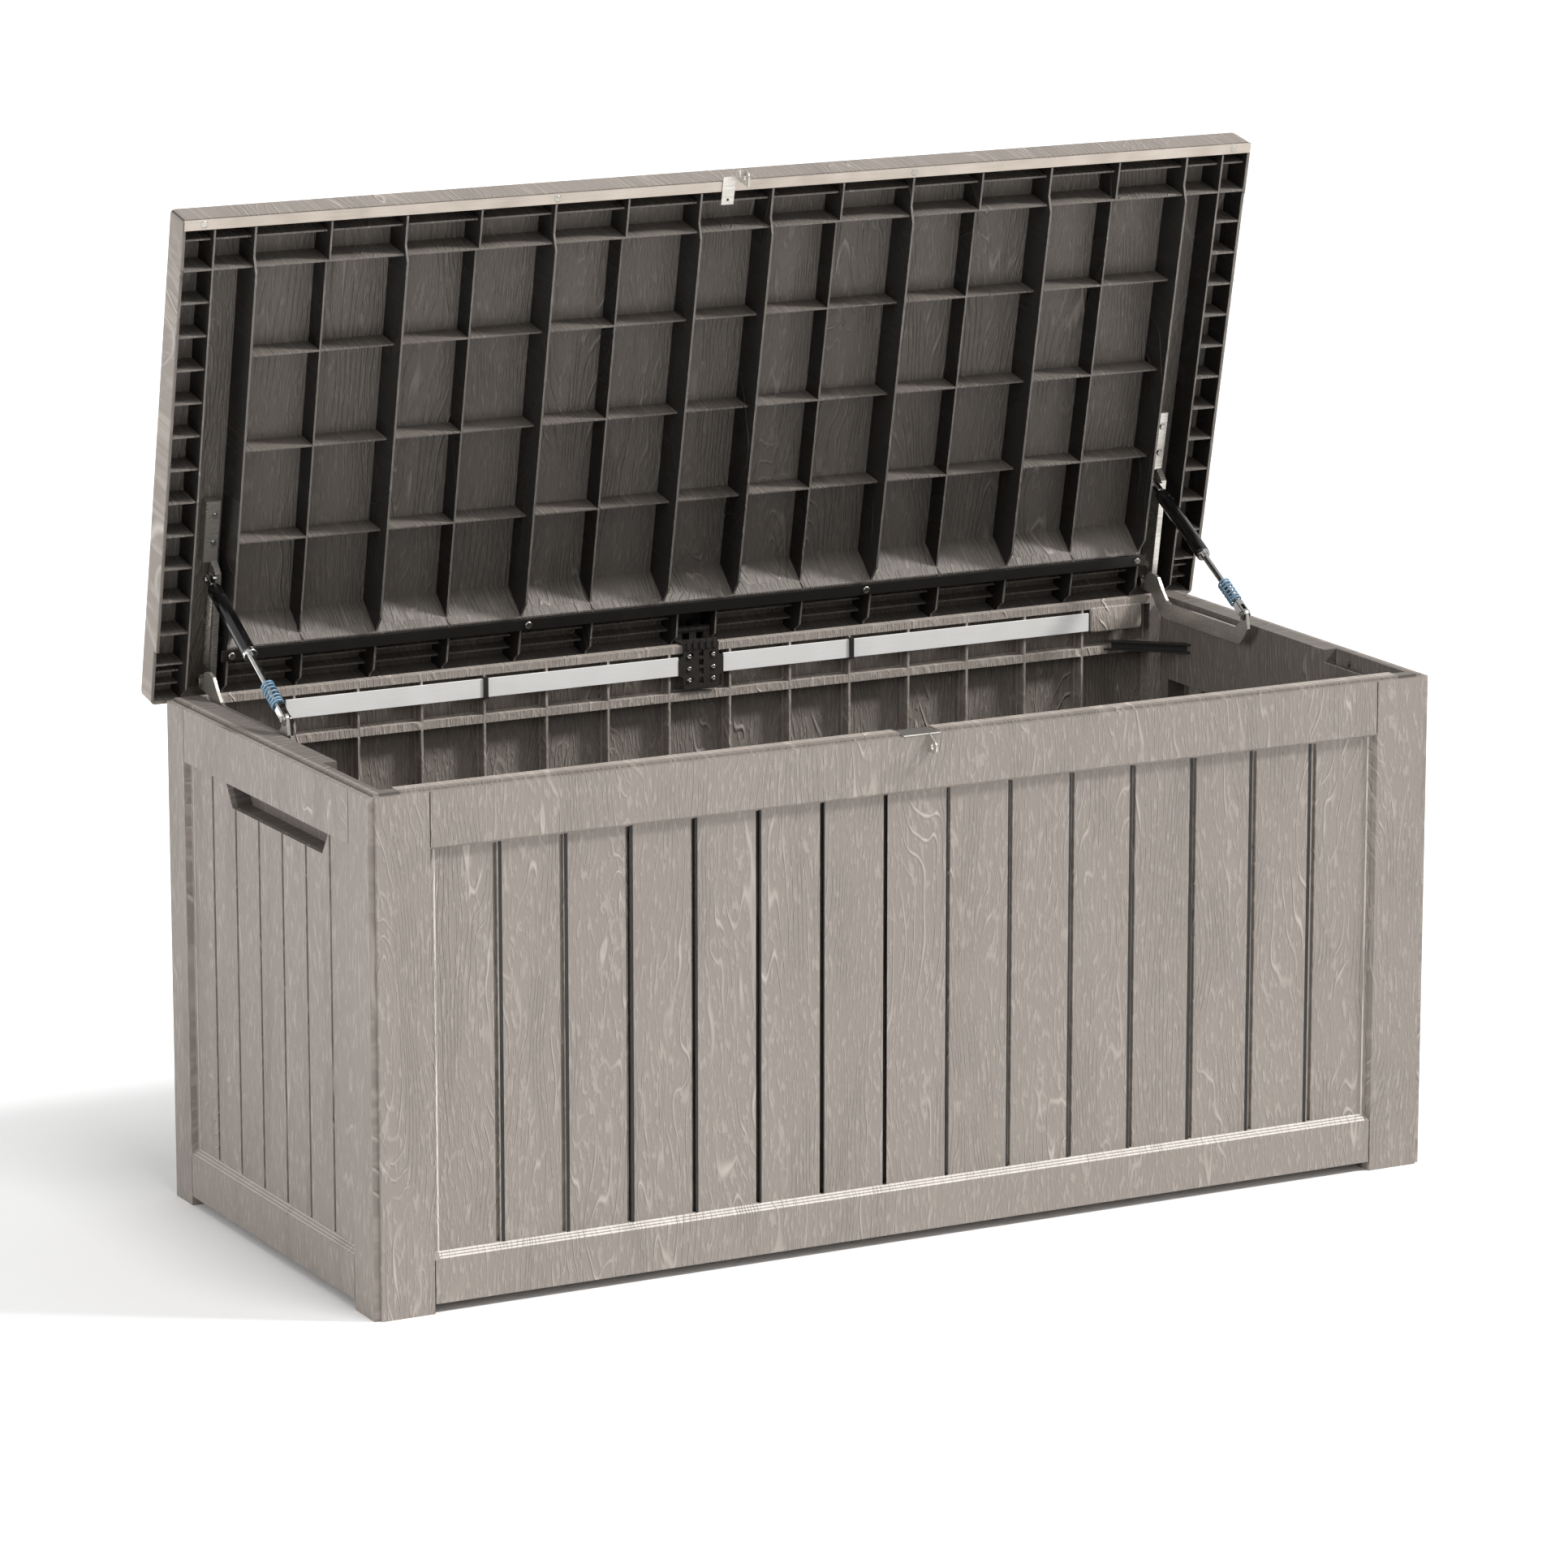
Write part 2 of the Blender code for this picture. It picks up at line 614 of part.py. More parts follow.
def rear_wall_fittings(group):
    """Two flat bars across the rear wall, their clips and the braces in the rear corners."""
    front = INNER_REAR - GAP - WALL_BAR
    back = INNER_REAR - GAP
    start = LEAF_TAB + EPS
    spans = {"rear_bar_left": (-HALF_LENGTH + WALL_BAR_END_LEFT, -start),
             "rear_bar_right": (start, HALF_LENGTH - WALL_BAR_END_RIGHT)}
    for name, x in spans.items():
        add_part(name, blocks([(x, (front, back), WALL_BAR_Z)]), bar_metal, group)
    for name, middle in zip(("bar_clip_left", "bar_clip_right"), CLIP_X):
        outer = front - GAP - CLIP_THICK
        low = WALL_BAR_Z[0] - GAP
        high = WALL_BAR_Z[1] + GAP
        hook = [(outer, low - CLIP_THICK), (back, low - CLIP_THICK), (back, low), (front - GAP, low),
                (front - GAP, high), (back, high), (back, high + CLIP_THICK), (outer, high + CLIP_THICK)]
        add_part(name, outline([hook], middle - CLIP_WIDTH / 2, middle + CLIP_WIDTH / 2, "YZ"),
                 dark_resin, group)
    for name, side in (("corner_brace_left", -1), ("corner_brace_right", 1)):
        corner_brace(name, side, group)


def corner_brace(name, side, group):
    """A channel that runs across a rear corner, its open side towards the inside of the box."""
    wall_x = INNER_END - GAP
    wall_y = INNER_REAR - GAP
    face = [(wall_x - BRACE_X, wall_y), (wall_x - BRACE_X + BRACE_DEEP, wall_y),
            (wall_x, wall_y - BRACE_Y + BRACE_DEEP), (wall_x, wall_y - BRACE_Y)]
    brace = add_part(name, outline([[(side * x, y) for x, y in face]], *BRACE_Z, "XY"), black_steel, group)
    run = Vector((BRACE_X, -BRACE_Y)).normalized()
    inward = Vector((-run.y, run.x)) * -1
    start = Vector(face[0]) - run * PAST
    end = Vector(face[3]) + run * PAST
    depth = BRACE_DEEP * abs(run.y) - BRACE_WALL
    channel = [start + inward * PAST, end + inward * PAST, end - inward * depth, start - inward * depth]
    points = [(side * p.x, p.y) for p in channel]
    cut(brace, outline([points], BRACE_Z[0] + BRACE_WALL, BRACE_Z[1] - BRACE_WALL, "XY"), group)


# ---------------------------------------------------------------- lid

def from_front(distance):
    return LID_FRONT + distance


def lid_lines():
    """Centres of the ribs that run from front to rear."""
    return [(k - LID_BAYS / 2) * LID_BAY for k in range(LID_BAYS + 1)]


def is_keel(index):
    """Deep ribs come in every second place, counted from each end."""
    place = min(index, LID_BAYS - index)
    return place % 2 == 0


def heel(low):
    """The rear end of a rib, sloped so that it swings clear over the rear wall."""
    y = PIVOT.y
    return [(y + 0.003, low), (y + 0.0125, PIVOT.z - 0.0030), (LID_REAR - SKIRT + EPS, PIVOT.z - 0.0030)]


def rib_outline(index):
    """Side view of one long rib, from the front skirt to the rear skirt."""
    top = LID_INNER + EPS
    hinge_rib = index in (LID_BAYS // 2, LID_BAYS // 2 + 1)
    front = from_front(FRONT_BAR + 3 * GAP)
    low = RIB_EDGE_Z + (EPS if is_keel(index) else 0.0)
    if is_keel(index):
        middle = [(from_front(BAND - 0.012), RIB_EDGE_Z), (from_front(BAND + 0.006), KEEL_Z),
                  (from_front(RAMP_START + 0.005), KEEL_Z), (from_front(RAMP_END - 0.004), low)]
    else:
        middle = [(from_front(BAND), RIB_EDGE_Z), (from_front(BAND), THIN_Z),
                  (from_front(RAMP_START + 0.020), THIN_Z), (from_front(RAMP_START + 0.024), RIB_EDGE_Z)]
    start = [(from_front(SKIRT) - EPS, RIB_EDGE_Z + 0.006), (front, RIB_EDGE_Z + 0.006), (front, RIB_EDGE_Z)]
    if hinge_rib:
        end = [(from_front(RAMP_END) + EPS, low), (from_front(RAMP_END) + EPS, top)]
    else:
        end = heel(low) + [(LID_REAR - SKIRT + EPS, top)]
    return start + middle + end + [(from_front(SKIRT) - EPS, top)]


def lid_shell(group):
    """The outer shell: a tray with stepped rims and plank lines on its top."""
    x = (-LID_HALF, LID_HALF)
    y = (LID_FRONT, LID_REAR)
    rim = LIP_HEIGHT + LID_RIM
    bm = blocks([(x, y, (rim, LID_TOP))])
    top_edges = [e for e in bm.edges if all(v.co.z > LID_TOP - EPS for v in e.verts)]
    upright = [e for e in bm.edges if abs(e.verts[0].co.z - e.verts[1].co.z) > EPS]
    bmesh.ops.bevel(bm, geom=top_edges + upright, offset=LID_EDGE, segments=3, profile=0.5, affect="EDGES")
    lid = add_part("lid_panel", bm, resin, group)
    cavity = ((x[0] + SKIRT, x[1] - SKIRT), (y[0] + SKIRT, y[1] - SKIRT), (rim - PAST, LID_INNER))
    cut(lid, blocks([cavity]), group)
    step_front = from_front(SIDE_STEP_FRONT)
    step_rear = from_front(SIDE_STEP_REAR)
    sides = [((s * LID_HALF - PAST, s * LID_HALF + PAST), (step_front, step_rear + EPS),
              (rim - PAST, LIP_HEIGHT + LID_SIDE_RIM)) for s in (-1, 1)]
    cut(lid, blocks(sides), group)
    rear = ((x[0] - PAST, x[1] + PAST), (step_rear, y[1] + PAST), (rim - PAST, LIP_HEIGHT + LID_REAR_RIM))
    cut(lid, blocks([rear]), group)
    half = TOP_GROOVE / 2
    up = (LID_TOP - TOP_GROOVE_DEPTH, LID_TOP + PAST)
    seam_y = (step_front + half + RIB, step_rear - half - RIB)
    lines = [((g - half, g + half), seam_y, up) for g in lid_lines()]
    cut(lid, blocks(lines), group)
    seams = [((x[0] - PAST, x[1] + PAST), (s - half, s + half), up) for s in (step_front, step_rear)]
    cut(lid, blocks(seams), group)
    return lid


def lid_ribs(lid, group):
    top = LID_INNER + EPS
    lines = lid_lines()
    for index, x in enumerate(lines):
        half = (KEEL_RIB if is_keel(index) else THIN_RIB) / 2
        join(lid, outline([rib_outline(index)], x - half, x + half, "YZ"), group)
    half = THIN_RIB / 2
    front_y = from_front(SKIRT) - EPS
    rear_y = LID_REAR - SKIRT + EPS
    side = [(front_y, RIB_EDGE_Z + 0.006), (from_front(FRONT_BAR + 3 * GAP), RIB_EDGE_Z + 0.006),
            (from_front(FRONT_BAR + 3 * GAP), RIB_EDGE_Z)] + heel(RIB_EDGE_Z) + [(rear_y, top),
             (front_y, top)]
    for x in (-SIDE_RIB, SIDE_RIB):
        join(lid, outline([side], x - half, x + half, "YZ"), group)
    hinge_side = [(from_front(RAMP_END), RIB_EDGE_Z + 0.002),
                  (INNER_REAR + 0.0025, RIB_EDGE_Z + 0.002)] + heel(RIB_EDGE_Z) + [
                      (rear_y, top), (from_front(RAMP_END), top)]
    for x in (-HINGE_BAY, HINGE_BAY):
        join(lid, outline([hinge_side], x - half, x + half, "YZ"), group)
    across = []
    side_x = LID_HALF - SKIRT + EPS
    across.append(((-side_x, side_x), (from_front(BAND) - half, from_front(BAND) + half), (RIB_EDGE_Z, top)))
    across.append(((-side_x, side_x), (from_front(BAND_LINE) - half, from_front(BAND_LINE) + half),
                   (THIN_Z, top)))
    field_x = LID_FIELD / 2
    for s in CROSS_RIBS:
        across.append(((-field_x, field_x), (from_front(s) - half, from_front(s) + half), (THIN_Z, top)))
    for s in REAR_ROWS:
        for a, b in ((-side_x, -SIDE_RIB), (-field_x, -HINGE_BAY), (HINGE_BAY, field_x), (SIDE_RIB, side_x)):
            across.append(((a, b), (from_front(s) - half, from_front(s) + half),
                          (top - REAR_ROW_HEIGHT, top)))
    join(lid, blocks(across), group)
    ramp = [(from_front(RAMP_START), top), (from_front(RAMP_END), RIB_EDGE_Z),
            (from_front(RAMP_END) + RAMP_WALL, RIB_EDGE_Z), (from_front(RAMP_END) + RAMP_WALL, top)]
    join(lid, outline([ramp], -field_x, field_x, "YZ"), group)
    cells = []
    pitch = (RAMP_END + 0.060 - BAND) / CELLS
    for k in range(1, CELLS):
        y = from_front(BAND + k * pitch)
        low = LIP_HEIGHT + (LID_SIDE_RIM if y < from_front(SIDE_STEP_REAR) - RIB else LID_REAR_RIM) + EPS
        for a, b in ((-side_x, -SIDE_RIB), (SIDE_RIB, side_x)):
            cells.append(((a, b), (y - half, y + half), (low, top)))
    join(lid, blocks(cells), group)


def lid_bosses(lid, group):
    """Screw bosses under the two bars, each with its pilot hole."""
    top = LID_INNER + EPS
    low = LIP_HEIGHT + LID_RIM + GAP
    seat = RIB_EDGE_Z + GAP
    half = BOSS / 2
    front_y = from_front((FRONT_BAR_START + FRONT_BAR) / 2)
    rear_y = from_front(REAR_BAR_START + REAR_BAR / 2)
    boss_boxes = []
    holes = bmesh.new()
    for x in signed(FRONT_SCREWS):
        boss_boxes.append(((x - half, x + half), (from_front(SKIRT) - EPS, from_front(FRONT_BAR)),
                          (low, top)))
        rod_between(holes, (x, front_y, low - PAST), (x, front_y, low + SCREW_LENGTH), SCREW_SHANK + GAP, 12)
    for x in signed(REAR_SCREWS):
        reach = from_front(REAR_BAR_START + REAR_BAR)
        boss_boxes.append(((x - half, x + half), (from_front(RAMP_END) + EPS, reach), (seat, top)))
        rod_between(holes, (x, rear_y, seat - PAST), (x, rear_y, seat + SCREW_LENGTH),
                    SCREW_SHANK + GAP, 12)
    join(lid, blocks(boss_boxes), group)
    cut(lid, holes, group)


def signed(values):
    """Places mirrored about the middle, from left to right."""
    return sorted([-v for v in values] + list(values))


def bar_with_holes(name, x, y, z, screw_x, material, group):
    bar = add_part(name, blocks([(x, y, z)]), material, group)
    holes = bmesh.new()
    middle = (y[0] + y[1]) / 2
    for place in screw_x:
        rod_between(holes, (place, middle, z[0] - PAST), (place, middle, z[1] + PAST), SCREW_SHANK + GAP, 12)
    cut(bar, holes, group)
    return bar


def flat_head_holes(bar, x, middle, low, group):
    """Holes that narrow from the lower face of a bar to the screw's shank."""
    slope = (SCREW_HEAD - SCREW_SHANK) / BAR_THICK
    holes = bmesh.new()
    for place in x:
        wide = SCREW_HEAD + GAP + slope * GAP
        narrow = SCREW_SHANK + GAP - slope * GAP
        depth = BAR_THICK + 2 * GAP
        centre = Matrix.Translation((place, middle, low + BAR_THICK / 2))
        bmesh.ops.create_cone(holes, cap_ends=True, segments=12, radius1=wide, radius2=narrow, depth=depth,
                              matrix=centre)
    cut(bar, holes, group)


def screw(name, location, direction, group, length=SCREW_LENGTH):
    """A pan-head screw whose head sits below the place it is driven into."""
    head = SCREW_HEAD_TALL
    profile = [(0.0, length), (SCREW_SHANK, length), (SCREW_SHANK, 0.0), (SCREW_HEAD, 0.0),
               (SCREW_HEAD * 0.8, -head), (0.0, -head)]
    return turned(name, profile, screw_steel, group, location, direction, steps=12)


def flat_head_screw(name, location, group):
    """A countersunk screw that ends flush with the lower face of its bar."""
    length = SCREW_LENGTH - GAP
    profile = [(0.0, length), (SCREW_SHANK, length), (SCREW_SHANK, BAR_THICK), (SCREW_HEAD, 0.0), (0.0, 0.0)]
    return turned(name, profile, screw_steel, group, location, "Z", steps=12)


def lid_bars(group):
    low = LIP_HEIGHT + LID_RIM - GAP - BAR_THICK
    y = (from_front(FRONT_BAR_START), from_front(FRONT_BAR))
    screw_x = signed(FRONT_SCREWS)
    middle = (y[0] + y[1]) / 2
    x = (-FRONT_BAR_HALF, FRONT_BAR_HALF)
    bar = add_part("lid_front_bar", blocks([(x, y, (low, low + BAR_THICK))]), front_metal, group)
    flat_head_holes(bar, screw_x, middle, low, group)
    for k, x in enumerate(screw_x):
        flat_head_screw(f"front_bar_screw_{k + 1}", (x, middle, low), group)
    low = RIB_EDGE_Z - GAP - REAR_BAR_THICK
    y = (from_front(REAR_BAR_START), from_front(REAR_BAR_START + REAR_BAR))
    screw_x = signed(REAR_SCREWS)
    bar_with_holes("lid_rear_bar", (-REAR_BAR_HALF, REAR_BAR_HALF), y, (low, low + REAR_BAR_THICK), screw_x,
                   black_steel, group)
    middle = (y[0] + y[1]) / 2
    for k, x in enumerate(screw_x):
        screw(f"rear_bar_screw_{k + 1}", (x, middle, low - GAP), "Z", group)


# ---------------------------------------------------------------- centre hinge

def knuckle_spans():
    """Five barrels side by side: the first, third and fifth belong to the body leaf."""
    step = KNUCKLE + GAP
    return [((k - 2) * step - KNUCKLE / 2, (k - 2) * step + KNUCKLE / 2) for k in range(5)]


def add_barrels(leaf, spans, web, group):
    barrels = bmesh.new()
    for a, b in spans:
        rod_between(barrels, (a, PIVOT.y, PIVOT.z), (b, PIVOT.y, PIVOT.z), KNUCKLE_RADIUS, 14)
    join(leaf, barrels, group)
    reach = KNUCKLE_RADIUS - 2 * EPS
    join(leaf, blocks([(span, (PIVOT.y - reach, PIVOT.y + reach), web) for span in spans]), group)
    bore = cylinder((-LEAF_TAB, PIVOT.y, PIVOT.z), (LEAF_TAB, PIVOT.y, PIVOT.z), PIN_RADIUS + GAP, 14)
    cut(leaf, bore, group)


def centre_hinge(body, lid):
    """A leaf on the rear wall, a leaf in the lid and the pin through their barrels."""
    back = INNER_REAR - GAP
    front = back - LEAF_THICK
    c = LEAF_CHAMFER
    right = [(LEAF_HALF, LEAF_Z[1]), (LEAF_HALF, LEAF_TAB_Z[1]), (LEAF_TAB, LEAF_TAB_Z[1] - c),
             (LEAF_TAB, LEAF_TAB_Z[0] + c), (LEAF_HALF, LEAF_TAB_Z[0]), (LEAF_HALF, LEAF_Z[0] + c / 2),
             (LEAF_HALF - c / 2, LEAF_Z[0])]
    left = [(-x, z) for x, z in reversed(right)]
    leaf = add_part("center_hinge_body_leaf", outline([right + left], front, back, "XZ"), hinge_black, body)
    shelf_z = (RIM_Z + GAP, RIM_Z + GAP + FLANGE)
    flange = ((-LEAF_HALF, LEAF_HALF), (front, PIVOT.y + KNUCKLE_RADIUS - 2 * EPS), shelf_z)
    neck = ((-LEAF_HALF, LEAF_HALF), (front, back), (LEAF_Z[1] - EPS, shelf_z[0] + EPS))
    join(leaf, blocks([flange]), body)
    join(leaf, blocks([neck]), body)
    spans = knuckle_spans()
    add_barrels(leaf, spans[0::2], (shelf_z[1] - EPS, PIVOT.z - PIN_RADIUS), body)
    teeth = []
    for k in range(5):
        x = (k - 2) * 2 * TOOTH
        teeth.append(((x - TOOTH / 2, x + TOOTH / 2), (front - TOOTH / 3, front + EPS),
                      (RIM_Z - TOOTH, RIM_Z + TOOTH_RISE)))
    join(leaf, blocks(teeth), body)
    slots = []
    for k in range(4):
        low = LEAF_Z[0] + 0.006 + k * 0.0115
        slots.append(((-0.0032, 0.0032), (front - PAST, back + PAST), (low, low + 0.0075)))
    cut(leaf, blocks(slots), body)
    holes = bmesh.new()
    for x in (-1, 1):
        for z in (LEAF_Z[0] + 0.0125, LEAF_Z[0] + 0.0425):
            rod_between(holes, (x * 0.0135, front - PAST, z), (x * 0.0135, back + PAST, z), 0.0032, 12)
    cut(leaf, holes, body)

    plate_z = (LID_INNER - GAP - LEAF_THICK, LID_INNER - GAP)
    plate_y = (from_front(RAMP_END) + RAMP_WALL + GAP, LID_REAR - SKIRT - GAP)
    half = HINGE_BAY - THIN_RIB / 2 - GAP
    lid_leaf = add_part("center_hinge_lid_leaf", blocks([((-half, half), plate_y, plate_z)]),
                        hinge_black, lid)
    add_barrels(lid_leaf, spans[1::2], (PIVOT.z + PIN_RADIUS, plate_z[0] + EPS), lid)
    reach = spans[4][1]
    pin = [(0.0, reach), (PIN_RADIUS, reach), (PIN_RADIUS, -reach), (0.0, -reach)]
    turned("center_hinge_pin", pin, screw_steel, body, PIVOT, "X", steps=16)


# ---------------------------------------------------------------- hasp

def hasp(body, lid):
    """Body hasp on the front rim and lid hasp beside it, their eyes in line for a padlock."""
    eye = (-HALF_DEPTH - HASP_EYE_OUT, LIP_HEIGHT - HASP_EYE_DROP)
    hole = arc(eye, HASP_EYE, 0, 345, 23)
    top = LIP_HEIGHT + GAP + HASP_PLATE
    base_y = -HALF_DEPTH - 2 * GAP
    fin = [(base_y, top)] + arc(eye, HASP_ROUND, 110, 250, 10) + [(base_y, eye[1] - HASP_ROUND)]
    x = (HASP_NOTCH[0] + 2 * GAP, HASP_NOTCH[1] - 2 * GAP)
    plate = (x, (base_y, INNER_FRONT), (LIP_HEIGHT + GAP, top))
    hasp_body = add_part("body_hasp", blocks([plate]), steel, body)
    half = HASP_FIN / 2
    join(hasp_body, outline([fin, hole], HASP_FIN_X - half, HASP_FIN_X + half, "YZ"), body)

    strap_top = LIP_HEIGHT + LID_RIM - 2 * GAP - BAR_THICK
    strap_low = strap_top - HASP_PLATE + GAP
    strap_y = (base_y - 0.006, from_front(STRAP_BACK))
    strap = add_part("lid_hasp", blocks([(STRAP_X, strap_y, (strap_low, strap_top))]), steel, lid)
    tab = ((STRAP_X[1] - EPS, half), (eye[0] - HASP_ROUND / 2, base_y), (strap_low, strap_top))
    join(strap, blocks([tab]), lid)
    lid_fin = [(base_y, strap_top)] + arc(eye, HASP_ROUND, 110, 250, 10) + [(base_y, eye[1] - HASP_ROUND)]
    join(strap, outline([lid_fin, hole], -half, half, "YZ"), lid)
    rivet_y = from_front(STRAP_BACK) - 0.006
    rivet_x = sum(STRAP_X) / 2
    cut(strap, cylinder((rivet_x, rivet_y, strap_low - PAST), (rivet_x, rivet_y, strap_top + PAST),
        0.0018, 12), lid)


def cut_hasp_notch(panel, group):
    notch = (HASP_NOTCH, (-HALF_DEPTH + LIP_WIDTH - EPS, INNER_FRONT + PAST), (LIP_HEIGHT, RIM_Z + PAST))
    cut(panel, blocks([notch]), group)


# ---------------------------------------------------------------- stay hinges and struts

def at_pivot(y, z):
    return (PIVOT.y + y, PIVOT.z + z)


def bracket_outline():
    """Side view of the bracket: an eye on the lid axis, a bend over the rear wall, a long foot
    along the end wall and an upright that carries the strut."""
    eye = arc(at_pivot(0, 0), BRACKET_EYE, -70, 130, 12)
    shoulder = [at_pivot(-0.0195, 0.0150), at_pivot(-0.0300, 0.0160), at_pivot(-0.0420, 0.0125)]
    bend = [at_pivot(-0.0530, -0.0020), at_pivot(-0.0640, -0.0135), at_pivot(-0.0720, -0.0165)]
    upright = [at_pivot(ANCHOR[0] + 0.0190, -0.0165), at_pivot(ANCHOR[0] + 0.0085, -0.0080)]
    cap = arc(at_pivot(*ANCHOR), 0.0065, 0, 180, 8)
    foot = [at_pivot(ANCHOR[0] - 0.0100, -0.0144), at_pivot(ANCHOR[0] - 0.0040, -0.0230),
            at_pivot(ANCHOR[0] + 0.0090, -0.0370)]
    heel_points = [at_pivot(-0.0585, -0.0370), at_pivot(-0.0490, -0.0320), at_pivot(-0.0260, -0.0110),
                   at_pivot(-0.0110, -0.0085)]
    return eye + shoulder + bend + upright + cap + foot + heel_points


def arm_outline():
    """Side view of the slim part of the lid arm, shut: an eye on the axis, then straight forward."""
    low = PIVOT.z + ARM_RISE[0]
    high = PIVOT.z + ARM_RISE[1]
    eye = arc(at_pivot(0, 0), ARM_EYE, -120, 60, 12)
    return eye + [(PIVOT.y - 0.012, high), (PIVOT.y - ARM_NARROW - 2 * EPS, high),
                  (PIVOT.y - ARM_NARROW - 2 * EPS, PIVOT.z + ARM_WIDE_RISE),
                  (PIVOT.y - ARM_NARROW + 0.010, low)]


def stay_bracket(side, stay_x, body):
    """Bracket, its two pegs to the end wall, the lid-axis pin and the strut's lower pin."""
    plate_x = (stay_x + STRUT_X - BRACKET_THICK / 2, stay_x + STRUT_X + BRACKET_THICK / 2)
    holes = [arc(at_pivot(0, 0), STAY_PIN + GAP, 0, 345, 23), arc(at_pivot(*ANCHOR), STRUT_PIN + GAP,
                 0, 345, 23)]
    bracket = add_part(f"{side}_hinge_bracket", outline([bracket_outline()] + holes, *plate_x, "YZ"),
                       steel, body)
    outward = 1 if stay_x > 0 else -1
    wall_x = outward * (INNER_END - GAP)
    face_x = plate_x[1] + GAP if outward > 0 else plate_x[0] - GAP
    for k, back in enumerate(PEG_BACK):
        y = PIVOT.y - back
        z = PIVOT.z - 0.027
        peg = cylinder((face_x, y, z), (wall_x, y, z), PEG_RADIUS, 14)
        add_part(f"{side}_bracket_peg_{k + 1}", peg, screw_steel, body)
    middle = stay_x + STRUT_X
    head = (-BRACKET_THICK / 2 - GAP - 0.0022, -BRACKET_THICK / 2 - GAP)
    collar = (BRACKET_THICK / 2 + GAP, ARM_X[0] - STRUT_X - GAP)
    tip = ARM_X[1] - STRUT_X + 0.0015
    profile = [(0.0, tip), (STAY_PIN, tip), (STAY_PIN, collar[1]), (0.0055, collar[1]), (0.0055, collar[0]),
               (STAY_PIN, collar[0]), (STAY_PIN, head[1]), (STAY_HEAD, head[1]), (STAY_HEAD,
                head[0] + 0.0006),
               (STAY_HEAD - 0.0006, head[0]), (0.0, head[0])]
    turned(f"{side}_hinge_pin", profile, steel, body, (middle, PIVOT.y, PIVOT.z), "X")
    reach = CLEVIS[0] / 2 + 0.0012
    profile = [(0.0, reach), (0.0038, reach), (0.0038, CLEVIS[0] / 2 + GAP), (STRUT_PIN, CLEVIS[0] / 2 + GAP),
               (STRUT_PIN, -CLEVIS[0] / 2 - GAP), (0.0038, -CLEVIS[0] / 2 - GAP), (0.0038, -reach),
                (0.0, -reach)]
    place = at_pivot(*ANCHOR)
    turned(f"{side}_clevis_pin", profile, steel, body, (middle, place[0], place[1]), "X", steps=16)


def lid_arm(side, stay_x, lid):
    """Slim arm with an eye, widening into a screwed foot under the lid skin."""
    x = (stay_x + ARM_X[0], stay_x + ARM_X[1])
    hole = arc(at_pivot(0, 0), STAY_PIN + GAP, 0, 345, 23)
    arm = add_part(f"{side}_lid_arm", outline([arm_outline(), hole], *x, "YZ"), steel, lid)
    foot_y = (PIVOT.y - ARM_LENGTH, PIVOT.y - ARM_NARROW)
    foot_z = (PIVOT.z + ARM_WIDE_RISE, LID_INNER - GAP)
    foot_x = (stay_x + ARM_WIDE_X[0], stay_x + ARM_WIDE_X[1])
    join(arm, blocks([(foot_x, foot_y, foot_z)]), lid)
    hollow_z = (PIVOT.z + ARM_RISE[0] + ARM_HOLLOW + 0.002, PIVOT.z + ARM_RISE[1] - ARM_HOLLOW)
    hollow = ((x[0] - PAST, x[1] - ARM_HOLLOW), (PIVOT.y - ARM_NARROW + 0.014, PIVOT.y - 0.016), hollow_z)
    cut(arm, blocks([hollow]), lid)
    holes = bmesh.new()
    screw_x = stay_x + ARM_SCREW_X
    for back in ARM_SCREWS:
        rod_between(holes, (screw_x, PIVOT.y - back, foot_z[0] - PAST),
                    (screw_x, PIVOT.y - back, foot_z[1] + PAST), SCREW_SHANK + GAP, 12)
    cut(arm, holes, lid)
    for k, back in enumerate(ARM_SCREWS):
        screw(f"{side}_arm_screw_{k + 1}", (screw_x, PIVOT.y - back, foot_z[0] - GAP), "Z", lid,
              length=foot_z[1] - foot_z[0])


